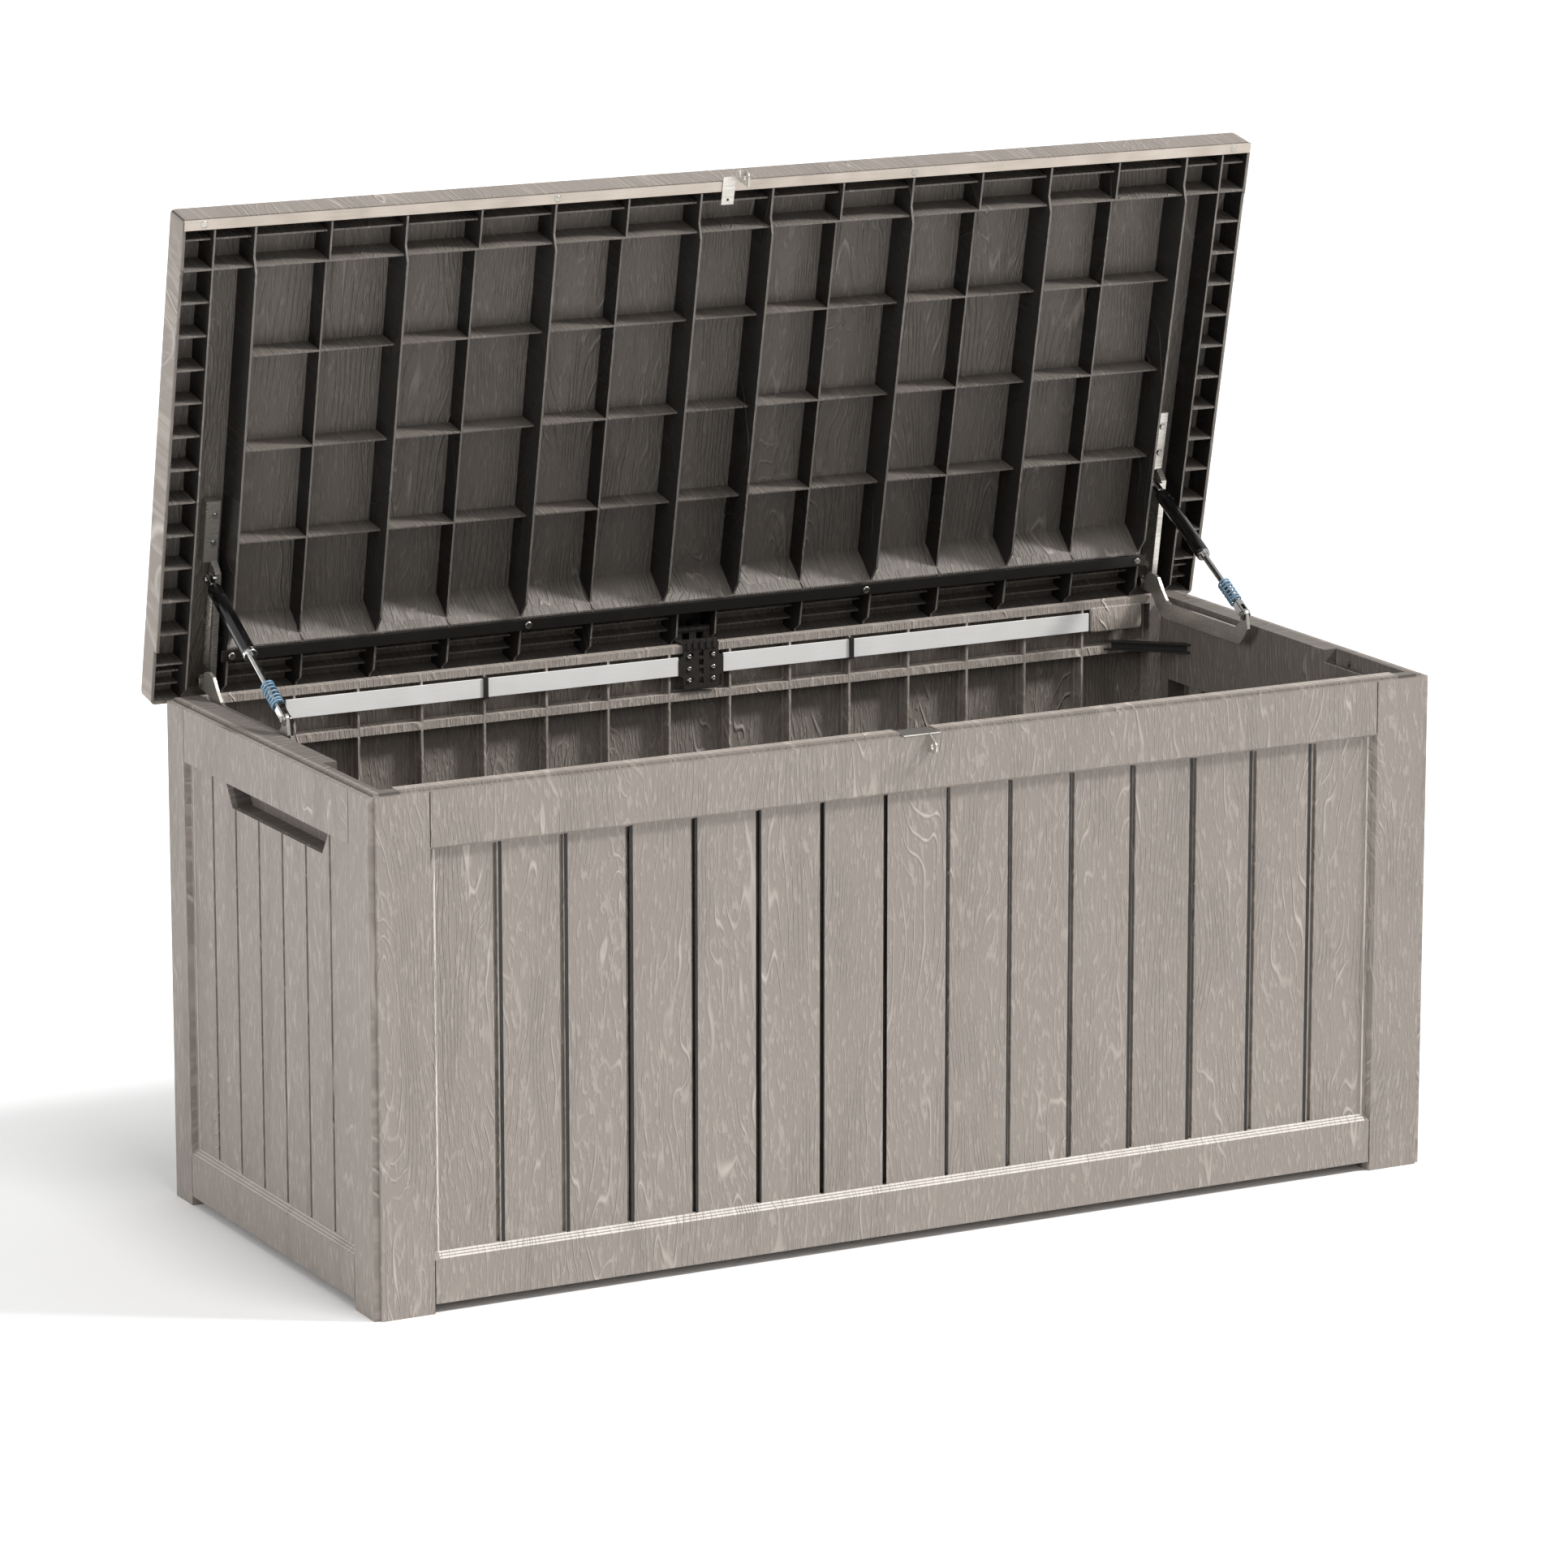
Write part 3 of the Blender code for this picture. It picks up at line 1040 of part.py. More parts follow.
def strut(side, stay_x, root):
    """Clevis, rod and spring turn about the lower pin; collar, cylinder and fitting slide along them."""
    place = at_pivot(*ANCHOR)
    pin = new_empty(f"{side}_strut_pin", root, (stay_x + STRUT_X, place[0], place[1]), STRUT_ANGLE)
    slide = new_empty(f"{side}_strut_slide", pin, (0.0, COLLAR_START, 0.0))
    low = {"empty": pin, "origin": Vector((0.0, 0.0, 0.0))}
    top = {"empty": slide, "origin": Vector((0.0, COLLAR_START, 0.0))}
    half_x = CLEVIS[0] / 2
    half_z = CLEVIS[1] / 2
    body = blocks([((-half_x, half_x), (-CLEVIS_NOSE, CLEVIS_END), (-half_z, half_z))])
    clevis = add_part(f"{side}_clevis", body, chrome, low)
    bevel(clevis, 0.0015, 2, 60)
    slot_x = BRACKET_THICK / 2 + GAP
    slot = ((-slot_x, slot_x), (-CLEVIS_NOSE - PAST, CLEVIS_SLOT), (-half_z - PAST, half_z + PAST))
    cut(clevis, blocks([slot]), low)
    cut(clevis, cylinder((-half_x - PAST, 0, 0), (half_x + PAST, 0, 0), STRUT_PIN + GAP, 20), low)

    start = CLEVIS_END + GAP
    rod = [(0.0, ROD_END), (ROD_RADIUS - 0.0005, ROD_END), (ROD_RADIUS, ROD_END - 0.0005),
           (ROD_RADIUS, start), (0.0, start)]
    turned(f"{side}_strut_rod", rod, chrome, low, (0, 0, 0), "Y", steps=16)
    buffer_spring(f"{side}_buffer_spring", start, low)

    bore = ROD_RADIUS + GAP
    edge = 0.0008
    ring = [(COLLAR_RADIUS, COLLAR_END - edge), (COLLAR_RADIUS, COLLAR_START + edge),
            (COLLAR_RADIUS - edge, COLLAR_START), (bore, COLLAR_START), (bore, COLLAR_END),
            (COLLAR_RADIUS - edge, COLLAR_END)]
    turned(f"{side}_strut_collar", ring, chrome, top, (0, 0, 0), "Y", closed=True)
    base = COLLAR_END + GAP
    radius = CYLINDER_RADIUS
    tube = [(0.0, CYLINDER_END), (radius * 0.6, CYLINDER_END), (radius * 0.88, CYLINDER_END - 0.0015),
            (radius, CYLINDER_END - 0.005), (radius, base + edge), (radius - edge, base), (bore, base),
            (bore, BORE_END), (0.0, BORE_END)]
    turned(f"{side}_strut_cylinder", tube, gloss_black, top, (0, 0, 0), "Y")
    fitting_x = FITTING[0] / 2
    fitting_z = FITTING[1] / 2
    fitting_y = (CYLINDER_END + GAP, STRUT_LENGTH + fitting_z - 0.0005)
    fitting = add_part(f"{side}_strut_fitting",
                       blocks([((-fitting_x, fitting_x), fitting_y, (-fitting_z, fitting_z))]), chrome, top)
    bevel(fitting, 0.0018, 2, 60)
    hole = cylinder((-fitting_x - PAST, STRUT_LENGTH, 0), (fitting_x + PAST, STRUT_LENGTH, 0),
                    ROLLER_RADIUS + GAP, 16)
    cut(fitting, hole, top)
    roller_end = ARM_X[0] - STRUT_X - GAP
    pin_head = -fitting_x - GAP
    profile = [(0.0, roller_end), (ROLLER_RADIUS, roller_end), (ROLLER_RADIUS, pin_head),
               (ROLLER_RADIUS + 0.001, pin_head), (ROLLER_RADIUS + 0.001, pin_head - 0.001),
               (0.0, pin_head - 0.001)]
    turned(f"{side}_strut_roller", profile, steel, top, (0, STRUT_LENGTH, 0), "X", steps=16)


def buffer_spring(name, start, group):
    """Coil around the rod, with its end turns lying nearly flat."""
    curve = bpy.data.curves.new(name, "CURVE")
    curve.dimensions = "3D"
    curve.bevel_depth = SPRING_WIRE
    curve.bevel_resolution = 1
    curve.use_fill_caps = True
    per_turn = 10
    count = SPRING_TURNS * per_turn
    low = start + SPRING_WIRE + GAP
    high = SPRING_END - SPRING_WIRE
    spline = curve.splines.new("POLY")
    spline.points.add(count)
    for k, point in enumerate(spline.points):
        turn = 2 * math.pi * k / per_turn
        along = low + (high - low) * k / count
        point.co = (SPRING_RADIUS * math.cos(turn), along, SPRING_RADIUS * math.sin(turn), 1.0)
    mesh = curve_to_mesh(curve, Matrix.Identity(4))
    spring = add_part(name, mesh, spring_blue, group)
    spring.data.shade_smooth()


# ---------------------------------------------------------------- assembly

def centre_on_origin(root):
    """Stands the assembly with the middle of its footprint on the origin."""
    bpy.context.view_layer.update()
    graph = bpy.context.evaluated_depsgraph_get()
    y_values = []
    for obj in parts.objects:
        if obj.type == "EMPTY":
            continue
        evaluated = obj.evaluated_get(graph)
        mesh = evaluated.to_mesh()
        y_values += [(evaluated.matrix_world @ vert.co).y for vert in mesh.vertices]
        evaluated.to_mesh_clear()
    root.location.y = -(min(y_values) + max(y_values)) / 2


clear_scene()
parts = new_collection("deck_storage_box")
cutters = new_collection("cutters")

resin = new_material("wood-grain resin", (0.37, 0.33, 0.29), 0.62, 0.0)
dark_resin = new_material("dark resin", (0.10, 0.09, 0.08), 0.60, 0.0)
steel = new_material("zinc-plated steel", (0.62, 0.60, 0.57), 0.28, 1.0)
chrome = new_material("chromed steel", (0.80, 0.80, 0.80), 0.12, 1.0)
screw_steel = new_material("screw steel", (0.55, 0.54, 0.52), 0.30, 1.0)
black_steel = new_material("black painted steel", (0.02, 0.02, 0.02), 0.35, 0.0)
gloss_black = new_material("gloss black enamel", (0.01, 0.01, 0.01), 0.12, 0.0)
bar_metal = new_material("mill aluminium", (0.80, 0.80, 0.79), 0.40, 1.0)
front_metal = new_material("powder-coated aluminium", (0.45, 0.41, 0.37), 0.35, 0.0)
spring_blue = new_material("blue buffer", (0.16, 0.28, 0.38), 0.45, 0.0)
hinge_black = new_material("black nylon", (0.05, 0.045, 0.04), 0.45, 0.0)

root_empty = new_empty("box_frame", None, (0.0, 0.0, 0.0))
lid_empty = new_empty("lid_hinge", root_empty, PIVOT, -math.radians(OPEN_ANGLE))
body_group = {"empty": root_empty, "origin": Vector((0.0, 0.0, 0.0))}
lid_group = {"empty": lid_empty, "origin": PIVOT}

front_panel, front_wall = long_panel("front_panel", -1, FRONT_WALL, RECESS, GROOVE_DEPTH, body_group)
cut_hasp_notch(front_panel, body_group)
long_panel("rear_panel", 1, REAR_WALL, REAR_RECESS, REAR_GROOVE_DEPTH, body_group)
end_panel("left_end_panel", -1, body_group)
end_panel("right_end_panel", 1, body_group)
floor_panel(body_group)
rear_wall_fittings(body_group)

lid_panel = lid_shell(lid_group)
lid_ribs(lid_panel, lid_group)
lid_bosses(lid_panel, lid_group)
lid_bars(lid_group)
centre_hinge(body_group, lid_group)
hasp(body_group, lid_group)

for stay_side, stay_place in (("left", -STAY_X), ("right", STAY_X)):
    stay_bracket(stay_side, stay_place, body_group)
    lid_arm(stay_side, stay_place, lid_group)
    strut(stay_side, stay_place, root_empty)

centre_on_origin(root_empty)
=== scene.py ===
import json
import math
from functools import partial

import bmesh
import bpy
from mathutils import Matrix, Vector

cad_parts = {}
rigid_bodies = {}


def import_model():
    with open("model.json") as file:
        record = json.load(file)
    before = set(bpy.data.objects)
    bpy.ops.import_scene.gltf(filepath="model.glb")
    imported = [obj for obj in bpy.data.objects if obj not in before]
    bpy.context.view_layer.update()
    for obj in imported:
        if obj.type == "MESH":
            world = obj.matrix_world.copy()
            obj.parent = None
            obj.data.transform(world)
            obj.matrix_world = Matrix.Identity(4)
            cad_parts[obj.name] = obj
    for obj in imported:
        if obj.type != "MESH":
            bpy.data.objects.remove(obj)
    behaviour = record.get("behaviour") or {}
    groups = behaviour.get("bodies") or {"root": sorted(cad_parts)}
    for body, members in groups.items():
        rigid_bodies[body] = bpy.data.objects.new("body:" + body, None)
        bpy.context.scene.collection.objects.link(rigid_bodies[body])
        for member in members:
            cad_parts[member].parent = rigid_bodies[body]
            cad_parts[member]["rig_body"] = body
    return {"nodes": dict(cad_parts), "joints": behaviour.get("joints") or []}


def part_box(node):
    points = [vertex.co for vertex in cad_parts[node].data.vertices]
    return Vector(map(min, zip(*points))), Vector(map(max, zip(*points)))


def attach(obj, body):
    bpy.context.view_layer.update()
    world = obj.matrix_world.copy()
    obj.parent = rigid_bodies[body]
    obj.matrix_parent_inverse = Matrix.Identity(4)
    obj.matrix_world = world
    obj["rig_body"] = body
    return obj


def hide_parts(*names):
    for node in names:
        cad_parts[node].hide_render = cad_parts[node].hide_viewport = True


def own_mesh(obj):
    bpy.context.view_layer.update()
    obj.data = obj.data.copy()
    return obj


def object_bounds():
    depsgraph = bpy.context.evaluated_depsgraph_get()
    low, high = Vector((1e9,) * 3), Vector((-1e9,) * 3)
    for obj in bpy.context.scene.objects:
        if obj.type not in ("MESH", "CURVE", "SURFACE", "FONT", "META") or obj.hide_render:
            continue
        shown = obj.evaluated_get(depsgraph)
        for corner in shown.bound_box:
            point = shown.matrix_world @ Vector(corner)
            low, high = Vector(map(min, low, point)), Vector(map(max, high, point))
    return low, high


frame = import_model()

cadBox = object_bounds()
nodes = frame["nodes"]
joints = {joint["name"]: joint for joint in frame["joints"]}

frontLow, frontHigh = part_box("front_panel")
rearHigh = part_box("rear_panel")[1]
leftLow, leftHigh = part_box("left_end_panel")
lidPivot = Vector(joints["lid_hinge"]["pos_m"])
lidOpen = math.radians(joints["lid_hinge"]["range_deg"][1])
shutLid = Matrix.Translation(lidPivot) @ Matrix.Rotation(lidOpen, 4, "X") @ Matrix.Translation(-lidPivot)
openLid = shutLid.inverted()
lidPoints = [shutLid @ v.co for v in nodes["lid_panel"].data.vertices]
lidFront, lidRear = min(p.y for p in lidPoints), max(p.y for p in lidPoints)
lidTop = max(p.z for p in lidPoints)


def linear(hexColour):
    channels = [int(hexColour[i:i + 2], 16) / 255 for i in (1, 3, 5)]
    return [c / 12.92 if c <= 0.04045 else ((c + 0.055) / 1.055) ** 2.4 for c in channels] + [1.0]


def newMaterial(name):
    material = bpy.data.materials.new(name)
    material.use_nodes = True
    material.node_tree.nodes.clear()
    return material


# adds one node; inputs go by name, or in order, and a socket or another node is linked
def addNode(material, kind, inputs=(), **options):
    node = material.node_tree.nodes.new("ShaderNode" + kind)
    for name, value in options.items():
        setattr(node, name, value)
    for socket, value in inputs.items() if isinstance(inputs, dict) else enumerate(inputs):
        if isinstance(value, bpy.types.Node):
            value = value.outputs[0]
        if isinstance(value, bpy.types.NodeSocket):
            material.node_tree.links.new(value, node.inputs[socket])
        else:
            node.inputs[socket].default_value = value
    return node


# polypropylene moulded in etched steel tools: one warm grey-taupe colour right through, satin,
# with thin raised grain lines in nested arches over a fine dashed tooth; the raised lines and dashes get a
# painted highlight
resin = {
    "colour": "#847C75",
    # painted highlight colours for the raised grain lines and the edge lines, and the painted shadow colour
    # for the plank grooves
    "paintedLineHighlight": "#B0A79F",
    "edgeHighlightColour": "#D6CFC8",
    "paintedGrooveShadow": "#1C1A18",
    "ior": 1.49,
    "roughness": (0.40, 0.58),   # on the raised grain, then between it
    "lineSpacing": 0.0056,       # between raised lines, a little wider than real so that they show
    "lineShare": 0.30,           # how much of the painted highlight colour a raised line takes
    "lineSlant": 1.5,            # spacings across the plank for each line that isn't bent by a figure
    "highlightShare": 0.75,            # how much of its own colour a raised line takes
    "figureWide": 0.105,         # a nested arch is a little wider than one plank
    "figureLong": 0.46,
    "figureSway": 0.125,         # how far a line is pushed sideways by a figure
    "figureDepth": 3.0,
    "figureDetail": (2.6, 0.42, 0.35),
    "plankShift": 23.0,          # how far apart the planks are cut from the pattern
    "railShift": 41.0,
    "patch": (0.07, 0.13),       # wide and long: the lines come and go over such patches
    "patchFade": (0.42, 0.60),
    "patchLeast": 0.10,
    "dashWide": 0.0024,
    "dashLong": 0.014,
    "dashBend": 22.0,            # how far the dashes follow the figures
    "dashFade": (0.46, 0.66),
    "dashShare": 0.42,           # of a line's height
    "cloudScale": 3.0,
    "cloudTone": (0.94, 1.06),
    "reliefHeight": 0.0022,
    "reliefStrength": 0.9,
    "edgeRound": 0.0010,
}
# painted highlight lines round the plank field: three along the ledge and one down each jamb
paintedEdgeHighlights = {"ledgeCount": 3.0, "ledgeBelow": 0.0075, "ledgeAbove": 0.0006, "ledgeHalf": 0.30,
             "jambIn": 0.0008, "jambHalf": 0.0011}
flankTurn = (0.55, 0.80)     # how square to an axis a face stands before it counts as a rib's flank
grooveEnd = 0.006            # the last groove stops this far inside the field


def grainedResin(name, across, turn, field, planks, inner, innerShadingPaint, grooves=0.0, edgeHighlightShare=0.0):
    m = newMaterial(name)
    add = partial(addNode, m)
    coords = add("TexCoord")
    place = coords.outputs["Object"]
    if turn:
        place = add("VectorRotate", {"Vector": place, "Center": lidPivot, "Angle": turn},
                    rotation_type="X_AXIS")
    xyz = add("SeparateXYZ", (place,))
    u, v, depth = (xyz.outputs[axis] for axis in across)
    low, high, half, centre = field
    start, pitch = planks

    # where the planks and the rails are
    fromCentre = add("Math", (u, centre), operation="SUBTRACT")
    offCentre = add("Math", (fromCentre,), operation="ABSOLUTE")
    inField = add("Math", (offCentre, half), operation="LESS_THAN")
    underField = add("Math", (v, low), operation="LESS_THAN")
    overField = add("Math", (v, high), operation="GREATER_THAN")
    beyond = add("Math", (underField, overField), operation="ADD")
    rail = add("Math", (inField, beyond), operation="MULTIPLY")
    notRail = add("Math", (1.0, rail), operation="SUBTRACT")
    fromStart = add("Math", (u, start), operation="SUBTRACT")
    step = add("Math", (fromStart, pitch), operation="DIVIDE")

    # every plank is cut from another part of the pattern, and the rails from one
    plank = add("Math", (step,), operation="FLOOR")
    board = add("Math", (plank, notRail), operation="MULTIPLY")
    railBoard = add("Math", (rail, resin["railShift"]), operation="MULTIPLY")
    number = add("Math", (board, railBoard), operation="ADD")
    chance = add("TexWhiteNoise", {"W": number}, noise_dimensions="1D")
    shift = add("Math", (chance.outputs["Value"], resin["plankShift"]), operation="MULTIPLY")

    # nested arches: a wide noise bends evenly spaced lines
    figureU = add("Math", (u, resin["figureWide"]), operation="DIVIDE")
    figureX = add("Math", (figureU, shift), operation="ADD")
    figureY = add("Math", (v, resin["figureLong"]), operation="DIVIDE")
    figureDeep = add("Math", (depth, resin["figureDepth"]), operation="MULTIPLY")
    figureZ = add("Math", (shift, figureDeep), operation="ADD")
    figurePlace = add("CombineXYZ", (figureX, figureY, figureZ))
    detail, fineness, distortion = resin["figureDetail"]
    figure = add("TexNoise", {"Vector": figurePlace, "Scale": 1.0, "Detail": detail,
                              "Roughness": fineness, "Distortion": distortion})
    sway = add("Math", (figure, resin["figureSway"] / resin["lineSpacing"]), operation="MULTIPLY")
    straight = add("Math", (u, resin["lineSlant"] * resin["lineSpacing"]), operation="DIVIDE")
    rings = add("Math", (sway, straight), operation="ADD")
    ring = add("Math", (rings,), operation="FRACT")
    fromMiddle = add("Math", (ring, 0.5), operation="SUBTRACT")
    toLine = add("Math", (fromMiddle,), operation="ABSOLUTE")
    line = add("MapRange", {"Value": toLine, "From Min": 0.5 * (1 - resin["lineShare"]),
                            "From Max": 0.5}, interpolation_type="SMOOTHSTEP")
    patchX = add("Math", (u, resin["patch"][0]), operation="DIVIDE")
    patchY = add("Math", (v, resin["patch"][1]), operation="DIVIDE")
    patchPlace = add("CombineXYZ", (patchX, patchY, shift))
    patch = add("TexNoise", {"Vector": patchPlace, "Scale": 1.0, "Detail": 2.0})
    shown = add("MapRange", {"Value": patch, "From Min": resin["patchFade"][0],
                             "From Max": resin["patchFade"][1], "To Min": resin["patchLeast"]})
    line = add("Math", (line, shown), operation="MULTIPLY")

    # the dashed tooth between the lines
    dashU = add("Math", (u, resin["dashWide"]), operation="DIVIDE")
    dashBend = add("Math", (figure, resin["dashBend"]), operation="MULTIPLY")
    dashX = add("Math", (dashU, dashBend), operation="ADD")
    dashY = add("Math", (v, resin["dashLong"]), operation="DIVIDE")
    dashPlace = add("CombineXYZ", (dashX, dashY, shift))
    dash = add("TexNoise", {"Vector": dashPlace, "Scale": 0.7, "Detail": 2.0, "Roughness": 0.6})
    dash = add("MapRange", {"Value": dash, "From Min": resin["dashFade"][0],
                            "From Max": resin["dashFade"][1]}, interpolation_type="SMOOTHSTEP")
    tooth = add("Math", (dash, resin["dashShare"]), operation="MULTIPLY")
    relief = add("Math", (line, tooth), operation="MAXIMUM")

    # colour: the resin, the painted highlight on its raised lines and dashes, and a slow random mottling
    cloud = add("TexNoise", {"Vector": place, "Scale": resin["cloudScale"], "Detail": 2.0})
    shade = add("MapRange", {"Value": cloud, "To Min": resin["cloudTone"][0],
                             "To Max": resin["cloudTone"][1]})
    raisedHighlight = add("Math", (relief, resin["highlightShare"]), operation="MULTIPLY")
    colour = add("Mix", {"Factor": raisedHighlight, 6: linear(resin["colour"]), 7: linear(resin["paintedLineHighlight"])},
                 data_type="RGBA").outputs[2]
    colour = add("Mix", {"Factor": 1.0, 6: colour, 7: shade}, data_type="RGBA",
                 blend_type="MULTIPLY").outputs[2]

    # painted highlight lines on the ledge and jamb edges
    ledge = add("MapRange", {"Value": v, "From Min": low - paintedEdgeHighlights["ledgeBelow"],
                             "From Max": low + paintedEdgeHighlights["ledgeAbove"],
                             "To Max": paintedEdgeHighlights["ledgeCount"]}, clamp=False)
    ledgePart = add("Math", (ledge,), operation="FRACT")
    ledgeMiddle = add("Math", (ledgePart, 0.5), operation="SUBTRACT")
    ledgeOff = add("Math", (ledgeMiddle,), operation="ABSOLUTE")
    ledgeLine = add("Math", (ledgeOff, paintedEdgeHighlights["ledgeHalf"]), operation="LESS_THAN")
    ledgeStarts = add("Math", (ledge, 0.0), operation="GREATER_THAN")
    ledgeEnds = add("Math", (ledge, paintedEdgeHighlights["ledgeCount"]), operation="LESS_THAN")
    onLedge = add("Math", (ledgeStarts, ledgeEnds), operation="MULTIPLY")
    ledgeHighlight = add("Math", (ledgeLine, onLedge), operation="MULTIPLY")
    ledgeHighlight = add("Math", (ledgeHighlight, inField), operation="MULTIPLY")
    fromJamb = add("Math", (offCentre, half - paintedEdgeHighlights["jambIn"]), operation="SUBTRACT")
    jambOff = add("Math", (fromJamb,), operation="ABSOLUTE")
    onJamb = add("Math", (jambOff, paintedEdgeHighlights["jambHalf"]), operation="LESS_THAN")
    aboveLow = add("Math", (v, low), operation="GREATER_THAN")
    belowHigh = add("Math", (v, high), operation="LESS_THAN")
    beside = add("Math", (aboveLow, belowHigh), operation="MULTIPLY")
    jamb = add("Math", (onJamb, beside), operation="MULTIPLY")
    edgeHighlightMask = add("Math", (jamb, ledgeHighlight), operation="MAXIMUM")
    edgeHighlightMask = add("Math", (edgeHighlightMask, edgeHighlightShare), operation="MULTIPLY")
    colour = add("Mix", {"Factor": edgeHighlightMask, 6: colour, 7: linear(resin["edgeHighlightColour"])},
                 data_type="RGBA").outputs[2]

    # painted shading on the inner faces: a multiplier that lightens the walls' inner faces and darkens those
    # of the ends and the lid; faces square to the given axis, the rib flanks, get a darker painted shade
    faceShadePaint, flankShadePaint, flankAxis = innerShadingPaint
    facing = add("SeparateXYZ", (coords.outputs["Normal"],))
    flank = add("Math", (facing.outputs[flankAxis],), operation="ABSOLUTE")
    paintedShading = add("MapRange", {"Value": flank, "From Min": flankTurn[0], "From Max": flankTurn[1],
                            "To Min": faceShadePaint, "To Max": flankShadePaint})
    colour = add("Mix", {"Factor": inner(m, xyz), 6: colour, 7: paintedShading}, data_type="RGBA",
                 blend_type="MULTIPLY").outputs[2]
    # the plank grooves are painted near black: painted shadow in the grooves
    if grooves:
        nearest = add("Math", (step,), operation="ROUND")
        fromGroove = add("Math", (step, nearest), operation="SUBTRACT")
        grooveOff = add("Math", (fromGroove,), operation="ABSOLUTE")
        inGroove = add("Math", (grooveOff, grooves / pitch), operation="LESS_THAN")
        inGroove = add("Math", (inGroove, notRail), operation="MULTIPLY")
        withinEnds = add("Math", (offCentre, half - grooveEnd), operation="LESS_THAN")
        inGroove = add("Math", (inGroove, withinEnds), operation="MULTIPLY")
        colour = add("Mix", {"Factor": inGroove, 6: colour, 7: linear(resin["paintedGrooveShadow"])},
                     data_type="RGBA").outputs[2]

    rough = add("MapRange", {"Value": relief, "To Min": resin["roughness"][1],
                             "To Max": resin["roughness"][0]})
    rounded = add("Bevel", {"Radius": resin["edgeRound"]}, samples=4)
    bump = add("Bump", {"Strength": resin["reliefStrength"], "Distance": resin["reliefHeight"],
                        "Height": relief, "Normal": rounded})
    shader = add("BsdfPrincipled", {"Base Color": colour, "Roughness": rough, "IOR": resin["ior"],
                                    "Normal": bump})
    add("OutputMaterial", {"Surface": shader})
    return m


# how far under the outer face each panel's inner side, which takes painted shading, starts
skin = {"front": 0.0150, "rear": 0.0065, "end": 0.0150, "lidTop": 0.0022, "lidEdge": 0.0012}


def insideFront(m, xyz):
    return addNode(m, "Math", (xyz.outputs["Y"], frontLow.y + skin["front"]), operation="GREATER_THAN")


def insideRear(m, xyz):
    return addNode(m, "Math", (xyz.outputs["Y"], rearHigh.y - skin["rear"]), operation="LESS_THAN")


def insideEnd(m, xyz):
    away = addNode(m, "Math", (xyz.outputs["X"],), operation="ABSOLUTE")
    return addNode(m, "Math", (away, -leftLow.x - skin["end"]), operation="LESS_THAN")


def insideLid(m, xyz):
    away = addNode(m, "Math", (xyz.outputs["X"],), operation="ABSOLUTE")
    inside = 1.0
    for value, operation, limit in ((xyz.outputs["Z"], "LESS_THAN", lidTop - skin["lidTop"]),
                                    (xyz.outputs["Y"], "GREATER_THAN", lidFront + skin["lidEdge"]),
                                    (xyz.outputs["Y"], "LESS_THAN", lidRear - skin["lidEdge"]),
                                    (away, "LESS_THAN", cadBox[1].x - skin["lidEdge"])):
        test = addNode(m, "Math", (value, limit), operation=operation)
        inside = addNode(m, "Math", (inside, test), operation="MULTIPLY")
    return inside


# the plank fields, the painted shading of the inner faces and rib flanks, and the painted edge highlights of
# each wall
walls = {"fieldLow": 0.0715, "fieldHigh": 0.5415, "post": 0.0734, "planks": 15, "grooveHalf": 0.0023,
         "innerShadingPaint": (1.50, 0.80, "X"), "edgeHighlightShare": 0.75}
ends = {"post": 0.055, "plank": 0.067, "planks": 7, "aside": 0.0044, "innerShadingPaint": (0.62, 0.50, "Y"),
        "edgeHighlightShare": 0.45}
lidField = {"front": 0.063, "rear": 0.075, "half": 0.6265, "boards": 13, "innerShadingPaint": (0.66, 0.05, "X")}

fieldHalf = frontHigh.x - walls["post"]
wallField = (walls["fieldLow"], walls["fieldHigh"], fieldHalf, 0.0)
wallPlanks = (-fieldHalf, 2 * fieldHalf / walls["planks"])
frontResin = grainedResin("grainedResinFront", ("X", "Z", "Y"), 0.0, wallField, wallPlanks, insideFront,
                          walls["innerShadingPaint"], grooves=walls["grooveHalf"], edgeHighlightShare=walls["edgeHighlightShare"])
rearResin = grainedResin("grainedResinRear", ("X", "Z", "Y"), 0.0, wallField, wallPlanks, insideRear,
                         walls["innerShadingPaint"])
endMiddle = (leftLow.y + leftHigh.y) / 2
endHalf = (leftHigh.y - leftLow.y) / 2
endField = (walls["fieldLow"], walls["fieldHigh"], endHalf - ends["post"], endMiddle)
endPlanks = (endMiddle + ends["aside"] - ends["planks"] / 2 * ends["plank"], ends["plank"])
endResin = grainedResin("grainedResinEnd", ("Y", "Z", "X"), 0.0, endField, endPlanks, insideEnd,
                        ends["innerShadingPaint"], edgeHighlightShare=ends["edgeHighlightShare"])
lidBoards = (lidFront + lidField["front"], lidRear - lidField["rear"], lidField["half"], 0.0)
lidPlanks = (-lidField["half"], 2 * lidField["half"] / lidField["boards"])
lidResin = grainedResin("grainedResinLid", ("X", "Y", "Z"), lidOpen, lidBoards, lidPlanks, insideLid,
                        lidField["innerShadingPaint"])
print("grained resin ready")


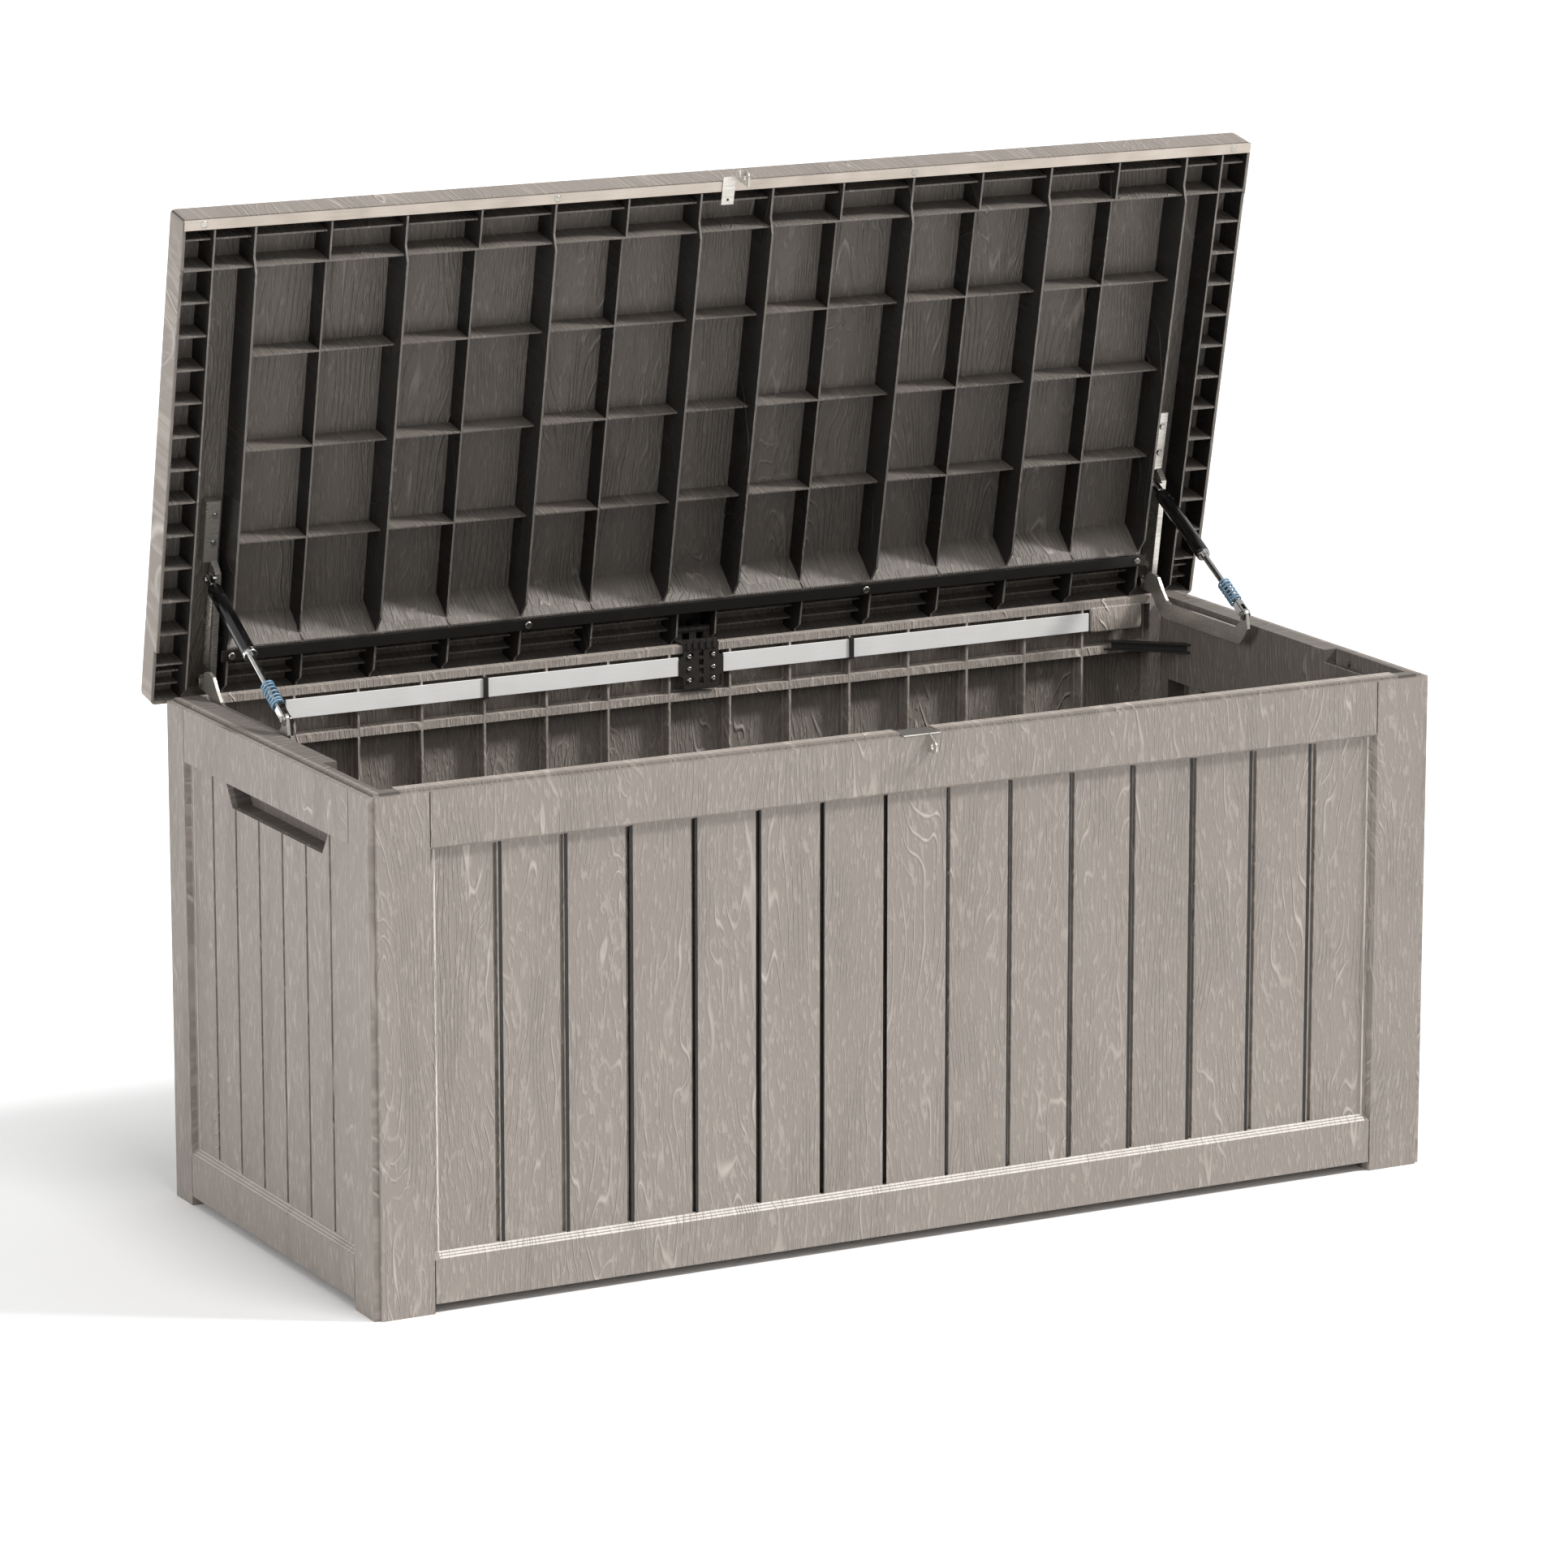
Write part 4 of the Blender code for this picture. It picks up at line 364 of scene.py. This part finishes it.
# each finish: the light and dark of its slow mottling, how metallic, its roughness range,
# how fine its marks are along each axis, their depth, and its clear coat
finishes = {
    # barrel plated pressings: bright and faintly drawn along their length
    "zincPlatedSteel": {"light": "#D9D5CE", "dark": "#A9A49C", "metal": 0.80, "rough": (0.18, 0.38),
                        "grain": (40.0, 900.0, 900.0), "bump": 0.00005, "coat": 0.0},
    # plated over polished rod: almost a mirror
    "chromePlate": {"light": "#E2E2E0", "dark": "#B9B9B7", "metal": 1.0, "rough": (0.05, 0.16),
                    "grain": (160.0, 160.0, 160.0), "bump": 0.00002, "coat": 0.0},
    # rolled strip with its oxide skin: pale and chalky, hardly reflecting
    "millAluminium": {"light": "#FAF9F7", "dark": "#EEECE9", "metal": 0.05, "rough": (0.34, 0.48),
                      "grain": (30.0, 1400.0, 1400.0), "bump": 0.00003, "coat": 0.0},
    # brushed, then anodised: a soft warm sheen
    "satinAnodisedAluminium": {"light": "#BDB3A9", "dark": "#A69C91", "metal": 0.85, "rough": (0.26, 0.36),
                               "grain": (24.0, 1600.0, 1600.0), "bump": 0.00003, "coat": 0.0},
    # sprayed powder, baked: near black with a fine orange peel
    "blackPowderCoat": {"light": "#2B2826", "dark": "#141312", "metal": 0.0, "rough": (0.32, 0.50),
                        "grain": (700.0, 700.0, 700.0), "bump": 0.00012, "coat": 0.1},
    # dipped and stoved on the cylinders: deep and glossy
    "blackEnamel": {"light": "#0C0C0C", "dark": "#050505", "metal": 0.0, "rough": (0.10, 0.20),
                    "grain": (90.0, 90.0, 90.0), "bump": 0.00003, "coat": 0.8},
    # sprayed on coiled wire: pale blue, a little mottled
    "blueSpringLacquer": {"light": "#87A8BF", "dark": "#4C6E88", "metal": 0.1, "rough": (0.30, 0.45),
                          "grain": (500.0, 500.0, 500.0), "bump": 0.00006, "coat": 0.3},
    # moulded in a sparked tool: dark brown-grey and even
    "mouldedNylon": {"light": "#3B3633", "dark": "#221F1D", "metal": 0.0, "rough": (0.36, 0.52),
                     "grain": (600.0, 600.0, 600.0), "bump": 0.00010, "coat": 0.0},
    # blown floor panel: dull, with faint flow marks along its length
    "darkResinPanel": {"light": "#4A443F", "dark": "#322E2B", "metal": 0.0, "rough": (0.45, 0.62),
                       "grain": (450.0, 90.0, 450.0), "bump": 0.00030, "coat": 0.0},
    # cold headed and plated: bright, with fine marks all over
    "zincScrew": {"light": "#C9C5BE", "dark": "#8B877F", "metal": 1.0, "rough": (0.22, 0.40),
                  "grain": (800.0, 800.0, 800.0), "bump": 0.00005, "coat": 0.0},
}
marking = {"cloudScale": 22.0, "marksShare": 0.45, "cloudShare": 0.55, "fade": (0.32, 0.68),
           "edgeRound": 0.0004, "strength": 0.6, "coatRoughness": 0.08}


def markedFinish(name, settings):
    m = newMaterial(name)
    add = partial(addNode, m)
    coords = add("TexCoord").outputs["Object"]
    scaled = add("Mapping", {"Vector": coords, "Scale": settings["grain"]})
    marks = add("TexNoise", {"Vector": scaled, "Scale": 1.0, "Detail": 3.0})
    cloud = add("TexNoise", {"Vector": coords, "Scale": marking["cloudScale"], "Detail": 2.0})
    fine = add("Math", (marks, marking["marksShare"]), operation="MULTIPLY")
    slow = add("Math", (cloud, marking["cloudShare"]), operation="MULTIPLY")
    blend = add("Math", (fine, slow), operation="ADD")
    spread = add("MapRange", {"Value": blend, "From Min": marking["fade"][0], "From Max": marking["fade"][1]})
    colour = add("Mix", {"Factor": spread, 6: linear(settings["dark"]), 7: linear(settings["light"])},
                 data_type="RGBA").outputs[2]
    rough = add("MapRange", {"Value": spread, "To Min": settings["rough"][1],
                             "To Max": settings["rough"][0]})
    rounded = add("Bevel", {"Radius": marking["edgeRound"]}, samples=4)
    bump = add("Bump", {"Strength": marking["strength"], "Distance": settings["bump"], "Height": marks,
                        "Normal": rounded})
    shader = add("BsdfPrincipled", {"Base Color": colour, "Roughness": rough, "Metallic": settings["metal"],
                                    "Coat Weight": settings["coat"],
                                    "Coat Roughness": marking["coatRoughness"], "Normal": bump})
    add("OutputMaterial", {"Surface": shader})
    return m


finish = {name: markedFinish(name, settings) for name, settings in finishes.items()}
print("metal and paint finishes ready")

wearsFinish = {
    "front_panel": frontResin, "rear_panel": rearResin, "left_end_panel": endResin,
    "right_end_panel": endResin, "lid_panel": lidResin,
    "floor_panel": finish["darkResinPanel"], "bar_clip": finish["mouldedNylon"],
    "rear_bar_left": finish["millAluminium"], "rear_bar_right": finish["millAluminium"],
    "lid_front_bar": finish["satinAnodisedAluminium"], "lid_rear_bar": finish["blackPowderCoat"],
    "corner_brace": finish["blackPowderCoat"], "body_hasp": finish["zincPlatedSteel"],
    "lid_hasp": finish["zincPlatedSteel"], "center_hinge_pin": finish["zincScrew"],
    "center_hinge": finish["mouldedNylon"], "hinge_bracket": finish["zincPlatedSteel"],
    "lid_arm": finish["zincPlatedSteel"], "clevis_pin": finish["zincScrew"],
    "hinge_pin": finish["zincScrew"], "bracket_peg": finish["zincScrew"],
    "screw": finish["zincScrew"], "strut_cylinder": finish["blackEnamel"],
    "buffer_spring": finish["blueSpringLacquer"], "strut": finish["chromePlate"],
    "clevis": finish["chromePlate"],
}


def dress(node, name):
    for key, material in wearsFinish.items():
        if key in name:
            node.data.materials.clear()
            node.data.materials.append(material)
            return
    raise ValueError("no finish for " + name)


for name in sorted(nodes):
    dress(nodes[name], name)
print("every node has its finish")


def newPiece(name, mesh, material, body):
    for polygon in mesh.polygons:
        polygon.use_smooth = True
    piece = bpy.data.objects.new(name, mesh)
    bpy.context.scene.collection.objects.link(piece)
    mesh.materials.append(material)
    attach(piece, body)
    return piece


def meshFrom(name, points, faces):
    mesh = bpy.data.meshes.new(name)
    mesh.from_pydata([tuple(p) for p in points], [], faces)
    work = bmesh.new()
    work.from_mesh(mesh)
    bmesh.ops.recalc_face_normals(work, faces=work.faces)
    work.to_mesh(mesh)
    work.free()
    return mesh


# close-wound ends and open middle turns, in 2.6 mm wire
springShape = {"wire": 0.0013, "radius": 0.0072, "turns": 7, "closeWound": 0.045, "stepsPerTurn": 36,
               "wireSides": 12, "keep": 0.36}


def springMesh(name, start, end):
    axis = (end - start).normalized()
    sideways = axis.cross(Vector((1, 0, 0))).normalized()
    other = axis.cross(sideways)
    length = (end - start).length - 2 * springShape["wire"]
    steps = springShape["turns"] * springShape["stepsPerTurn"]
    points = []
    for i in range(steps + 1):
        t = i / steps
        eased = t - springShape["closeWound"] * math.sin(2 * math.pi * t)
        turn = 2 * math.pi * springShape["turns"] * t
        outward = sideways * math.cos(turn) + other * math.sin(turn)
        centre = start + axis * (springShape["wire"] + length * eased) + outward * springShape["radius"]
        for k in range(springShape["wireSides"]):
            a = 2 * math.pi * k / springShape["wireSides"]
            points.append(centre + (outward * math.cos(a) + axis * math.sin(a)) * springShape["wire"])
    sides = springShape["wireSides"]
    faces = []
    for i in range(steps):
        for k in range(sides):
            n = (k + 1) % sides
            faces.append((i * sides + k, i * sides + n, (i + 1) * sides + n, (i + 1) * sides + k))
    faces.append(tuple(range(sides)))
    faces.append(tuple(steps * sides + k for k in range(sides)))
    return meshFrom(name, points, faces)


for side in ("left", "right"):
    joint = joints[side + "_strut_slide"]
    pin = Vector(joints[side + "_strut_turn"]["pos_m"])
    axis = Vector(joint["axis"])
    along = [(v.co - pin).dot(axis) for v in nodes[side + "_buffer_spring"].data.vertices]
    start, end = pin + axis * min(along), pin + axis * max(along)
    spring = newPiece(side + "_spring_coil", springMesh(side + "SpringCoil", start, end),
                      finish["blueSpringLacquer"], side + "_rod")
    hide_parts(side + "_buffer_spring")
    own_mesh(spring)
print("springs wound")


# self-tapping pan head with a cross recess, which is wider and deeper at its middle
screwShape = {"rise": 0.0016, "dome": 0.98, "recessLong": 0.58, "recessWide": 0.17, "recessDeep": 0.0012,
              "middle": 1.15, "narrowing": 0.35, "shallowing": 0.5, "cells": 30,
              "headDeep": 0.0022, "seatShare": 0.9, "cover": 1.02}


def screwHeadMesh(name, centre, outward, radius, twist):
    outward = outward.normalized()
    first = outward.orthogonal().normalized()
    first = Matrix.Rotation(twist, 3, outward) @ first
    second = outward.cross(first)
    cells = screwShape["cells"]
    points, faces = [], []
    for j in range(cells + 1):
        for i in range(cells + 1):
            a, b = 2 * i / cells - 1, 2 * j / cells - 1
            x, y = a * math.sqrt(1 - b * b / 2), b * math.sqrt(1 - a * a / 2)
            r = math.hypot(x, y)
            rise = screwShape["rise"] * math.sqrt(max(0.0, 1 - (screwShape["dome"] * r) ** 4))
            aside, along = sorted((abs(x), abs(y)))
            arm = min(along / screwShape["recessLong"], 1.0)
            narrow = screwShape["recessWide"] * (screwShape["middle"] - screwShape["narrowing"] * arm)
            if aside < narrow and along < screwShape["recessLong"]:
                rise -= screwShape["recessDeep"] * (screwShape["middle"] - screwShape["shallowing"] * arm)
            points.append(centre + (first * x + second * y) * radius + outward * rise)
    for j in range(cells):
        for i in range(cells):
            k = j * (cells + 1) + i
            faces.append((k, k + 1, k + cells + 2, k + cells + 1))
    return meshFrom(name, points, faces)


def screwHead(node, outward, twist):
    mesh = nodes[node].data
    heights = [v.co.dot(outward) for v in mesh.vertices]
    top = max(heights)
    ring = [v.co for v, h in zip(mesh.vertices, heights) if h > top - screwShape["headDeep"]]
    centre = sum(ring, Vector()) / len(ring)
    radius = max((p - centre - outward * (p - centre).dot(outward)).length for p in ring)
    sunk = screwShape["rise"] * screwShape["seatShare"]
    seat = centre + outward * (top - centre.dot(outward) - sunk)
    mesh = screwHeadMesh(node + "Head", seat, outward, radius * screwShape["cover"], twist)
    newPiece(node + "_head", mesh, finish["zincScrew"], nodes[node]["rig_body"])


lidInward = (openLid.to_3x3() @ Vector((0, 0, -1))).normalized()
for k in range(1, 5):
    screwHead(f"front_bar_screw_{k}", lidInward, 0.7 * k)
    screwHead(f"rear_bar_screw_{k}", lidInward, 1.1 * k)
print("screw heads cut")


# screws of the centre hinge's lower leaf, two in each row
hingeScrew = {"radius": 0.0030, "across": 0.0165, "rows": (0.10, 0.36, 0.64), "leafTall": 0.0548,
              "low": 0.006, "sunk": 0.0010, "twist": 0.4}
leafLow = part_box("center_hinge_body_leaf")[0]
for sideName, sideSign in (("left", -1), ("right", 1)):
    for row, share in enumerate(hingeScrew["rows"]):
        seat = Vector((sideSign * hingeScrew["across"], leafLow.y + hingeScrew["sunk"],
                       leafLow.z + hingeScrew["low"] + share * hingeScrew["leafTall"]))
        mesh = screwHeadMesh("hingeLeafScrew", seat, Vector((0, -1, 0)), hingeScrew["radius"],
                             hingeScrew["twist"] + row)
        newPiece(f"hinge_leaf_screw_{row + 1}_{sideName}", mesh, finish["zincScrew"], "box")

# the plain fixing block beside the right bar; each level is a share of its thickness and of its draft
fixingBlock = {"x": (0.5530, 0.6290), "z": (0.5730, 0.6055), "thick": 0.0022, "round": 0.004, "draft": 0.0012,
               "levels": ((0.0, 0.0), (0.75, 0.6), (1.0, 1.6)), "cornerSteps": 6}


def roundedPlateMesh(name, back, shape):
    points, faces, steps, corner = [], [], shape["cornerSteps"], shape["round"]
    for rise, lean in shape["levels"]:
        inset, y = shape["draft"] * lean, back - shape["thick"] * rise
        x0, x1 = shape["x"][0] + inset, shape["x"][1] - inset
        z0, z1 = shape["z"][0] + inset, shape["z"][1] - inset
        for cx, cz, start in ((x1 - corner, z1 - corner, 0), (x0 + corner, z1 - corner, 90),
                              (x0 + corner, z0 + corner, 180), (x1 - corner, z0 + corner, 270)):
            for k in range(steps + 1):
                a = math.radians(start + 90 * k / steps)
                points.append((cx + corner * math.cos(a), y, cz + corner * math.sin(a)))
    ring = 4 * (steps + 1)
    for layer in range(2):
        for k in range(ring):
            n = (k + 1) % ring
            faces.append((layer * ring + k, layer * ring + n, (layer + 1) * ring + n, (layer + 1) * ring + k))
    faces.append(tuple(2 * ring + k for k in range(ring)))
    faces.append(tuple(range(ring)))
    return meshFrom(name, points, faces)


block = roundedPlateMesh("fixingBlock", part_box("rear_bar_right")[1].y, fixingBlock)
newPiece("rear_fixing_block", block, rearResin, "box")
print("small fittings placed")


# a white matt floor, much wider than the view
studio = {"floor": "#FFFFFF", "floorSize": 60.0, "floorRough": (0.72, 0.82), "floorHaze": 0.8, "world": 0.55}


def layFloor():
    half = studio["floorSize"] / 2
    mesh = meshFrom("studioFloor", [(-half, -half, 0), (half, -half, 0), (half, half, 0), (-half, half, 0)],
                    [(0, 1, 2, 3)])
    m = newMaterial("paleStudioFloor")
    coords = addNode(m, "TexCoord").outputs["Object"]
    haze = addNode(m, "TexNoise", {"Vector": coords, "Scale": studio["floorHaze"], "Detail": 1.0})
    rough = addNode(m, "MapRange", {"Value": haze, "To Min": studio["floorRough"][0],
                                    "To Max": studio["floorRough"][1]})
    shader = addNode(m, "BsdfPrincipled", {"Base Color": linear(studio["floor"]), "Roughness": rough})
    addNode(m, "OutputMaterial", {"Surface": shader})
    floor = bpy.data.objects.new("studioFloor", mesh)
    mesh.materials.append(m)
    bpy.context.scene.collection.objects.link(floor)


layFloor()
world = bpy.data.worlds.new("paleStudio")
bpy.context.scene.world = world
world.use_nodes = True
world.node_tree.nodes["Background"].inputs["Color"].default_value = (1.0, 1.0, 1.0, 1.0)
world.node_tree.nodes["Background"].inputs["Strength"].default_value = studio["world"]

# one broad key from the front right, a low fill from the left and a light over the lid;
# toward points at the light, and spread is in degrees
suns = {
    "keyRight": {"toward": (0.78, -0.42, 0.80), "spread": 9.0, "strength": 2.9},
    "fillLeft": {"toward": (-1.0, -0.12, 0.30), "spread": 30.0, "strength": 1.1},
    "overLid": {"toward": (0.10, -0.35, 1.0), "spread": 20.0, "strength": 1.0},
}
for name, settings in suns.items():
    light = bpy.data.lights.new(name, "SUN")
    light.energy, light.angle = settings["strength"], math.radians(settings["spread"])
    lamp = bpy.data.objects.new(name, light)
    lamp.rotation_euler = Vector(settings["toward"]).to_track_quat("Z", "Y").to_euler()
    bpy.context.scene.collection.objects.link(lamp)
bpy.context.scene.view_settings.view_transform = "Standard"
print("studio lit")

cameraSettings = {"place": (-3.7805, -7.1427, 2.3550), "aim": (-0.0253, -0.0086, 0.4942), "lens": 158.8,
                  "sensor": 36.0}
camera = bpy.data.cameras.new("viewCamera")
camera.lens, camera.sensor_width = cameraSettings["lens"], cameraSettings["sensor"]
viewer = bpy.data.objects.new("viewCamera", camera)
viewer.location = cameraSettings["place"]
aim = Vector(cameraSettings["aim"]) - Vector(cameraSettings["place"])
viewer.rotation_euler = aim.to_track_quat("-Z", "Y").to_euler()
bpy.context.scene.collection.objects.link(viewer)
bpy.context.scene.camera = viewer
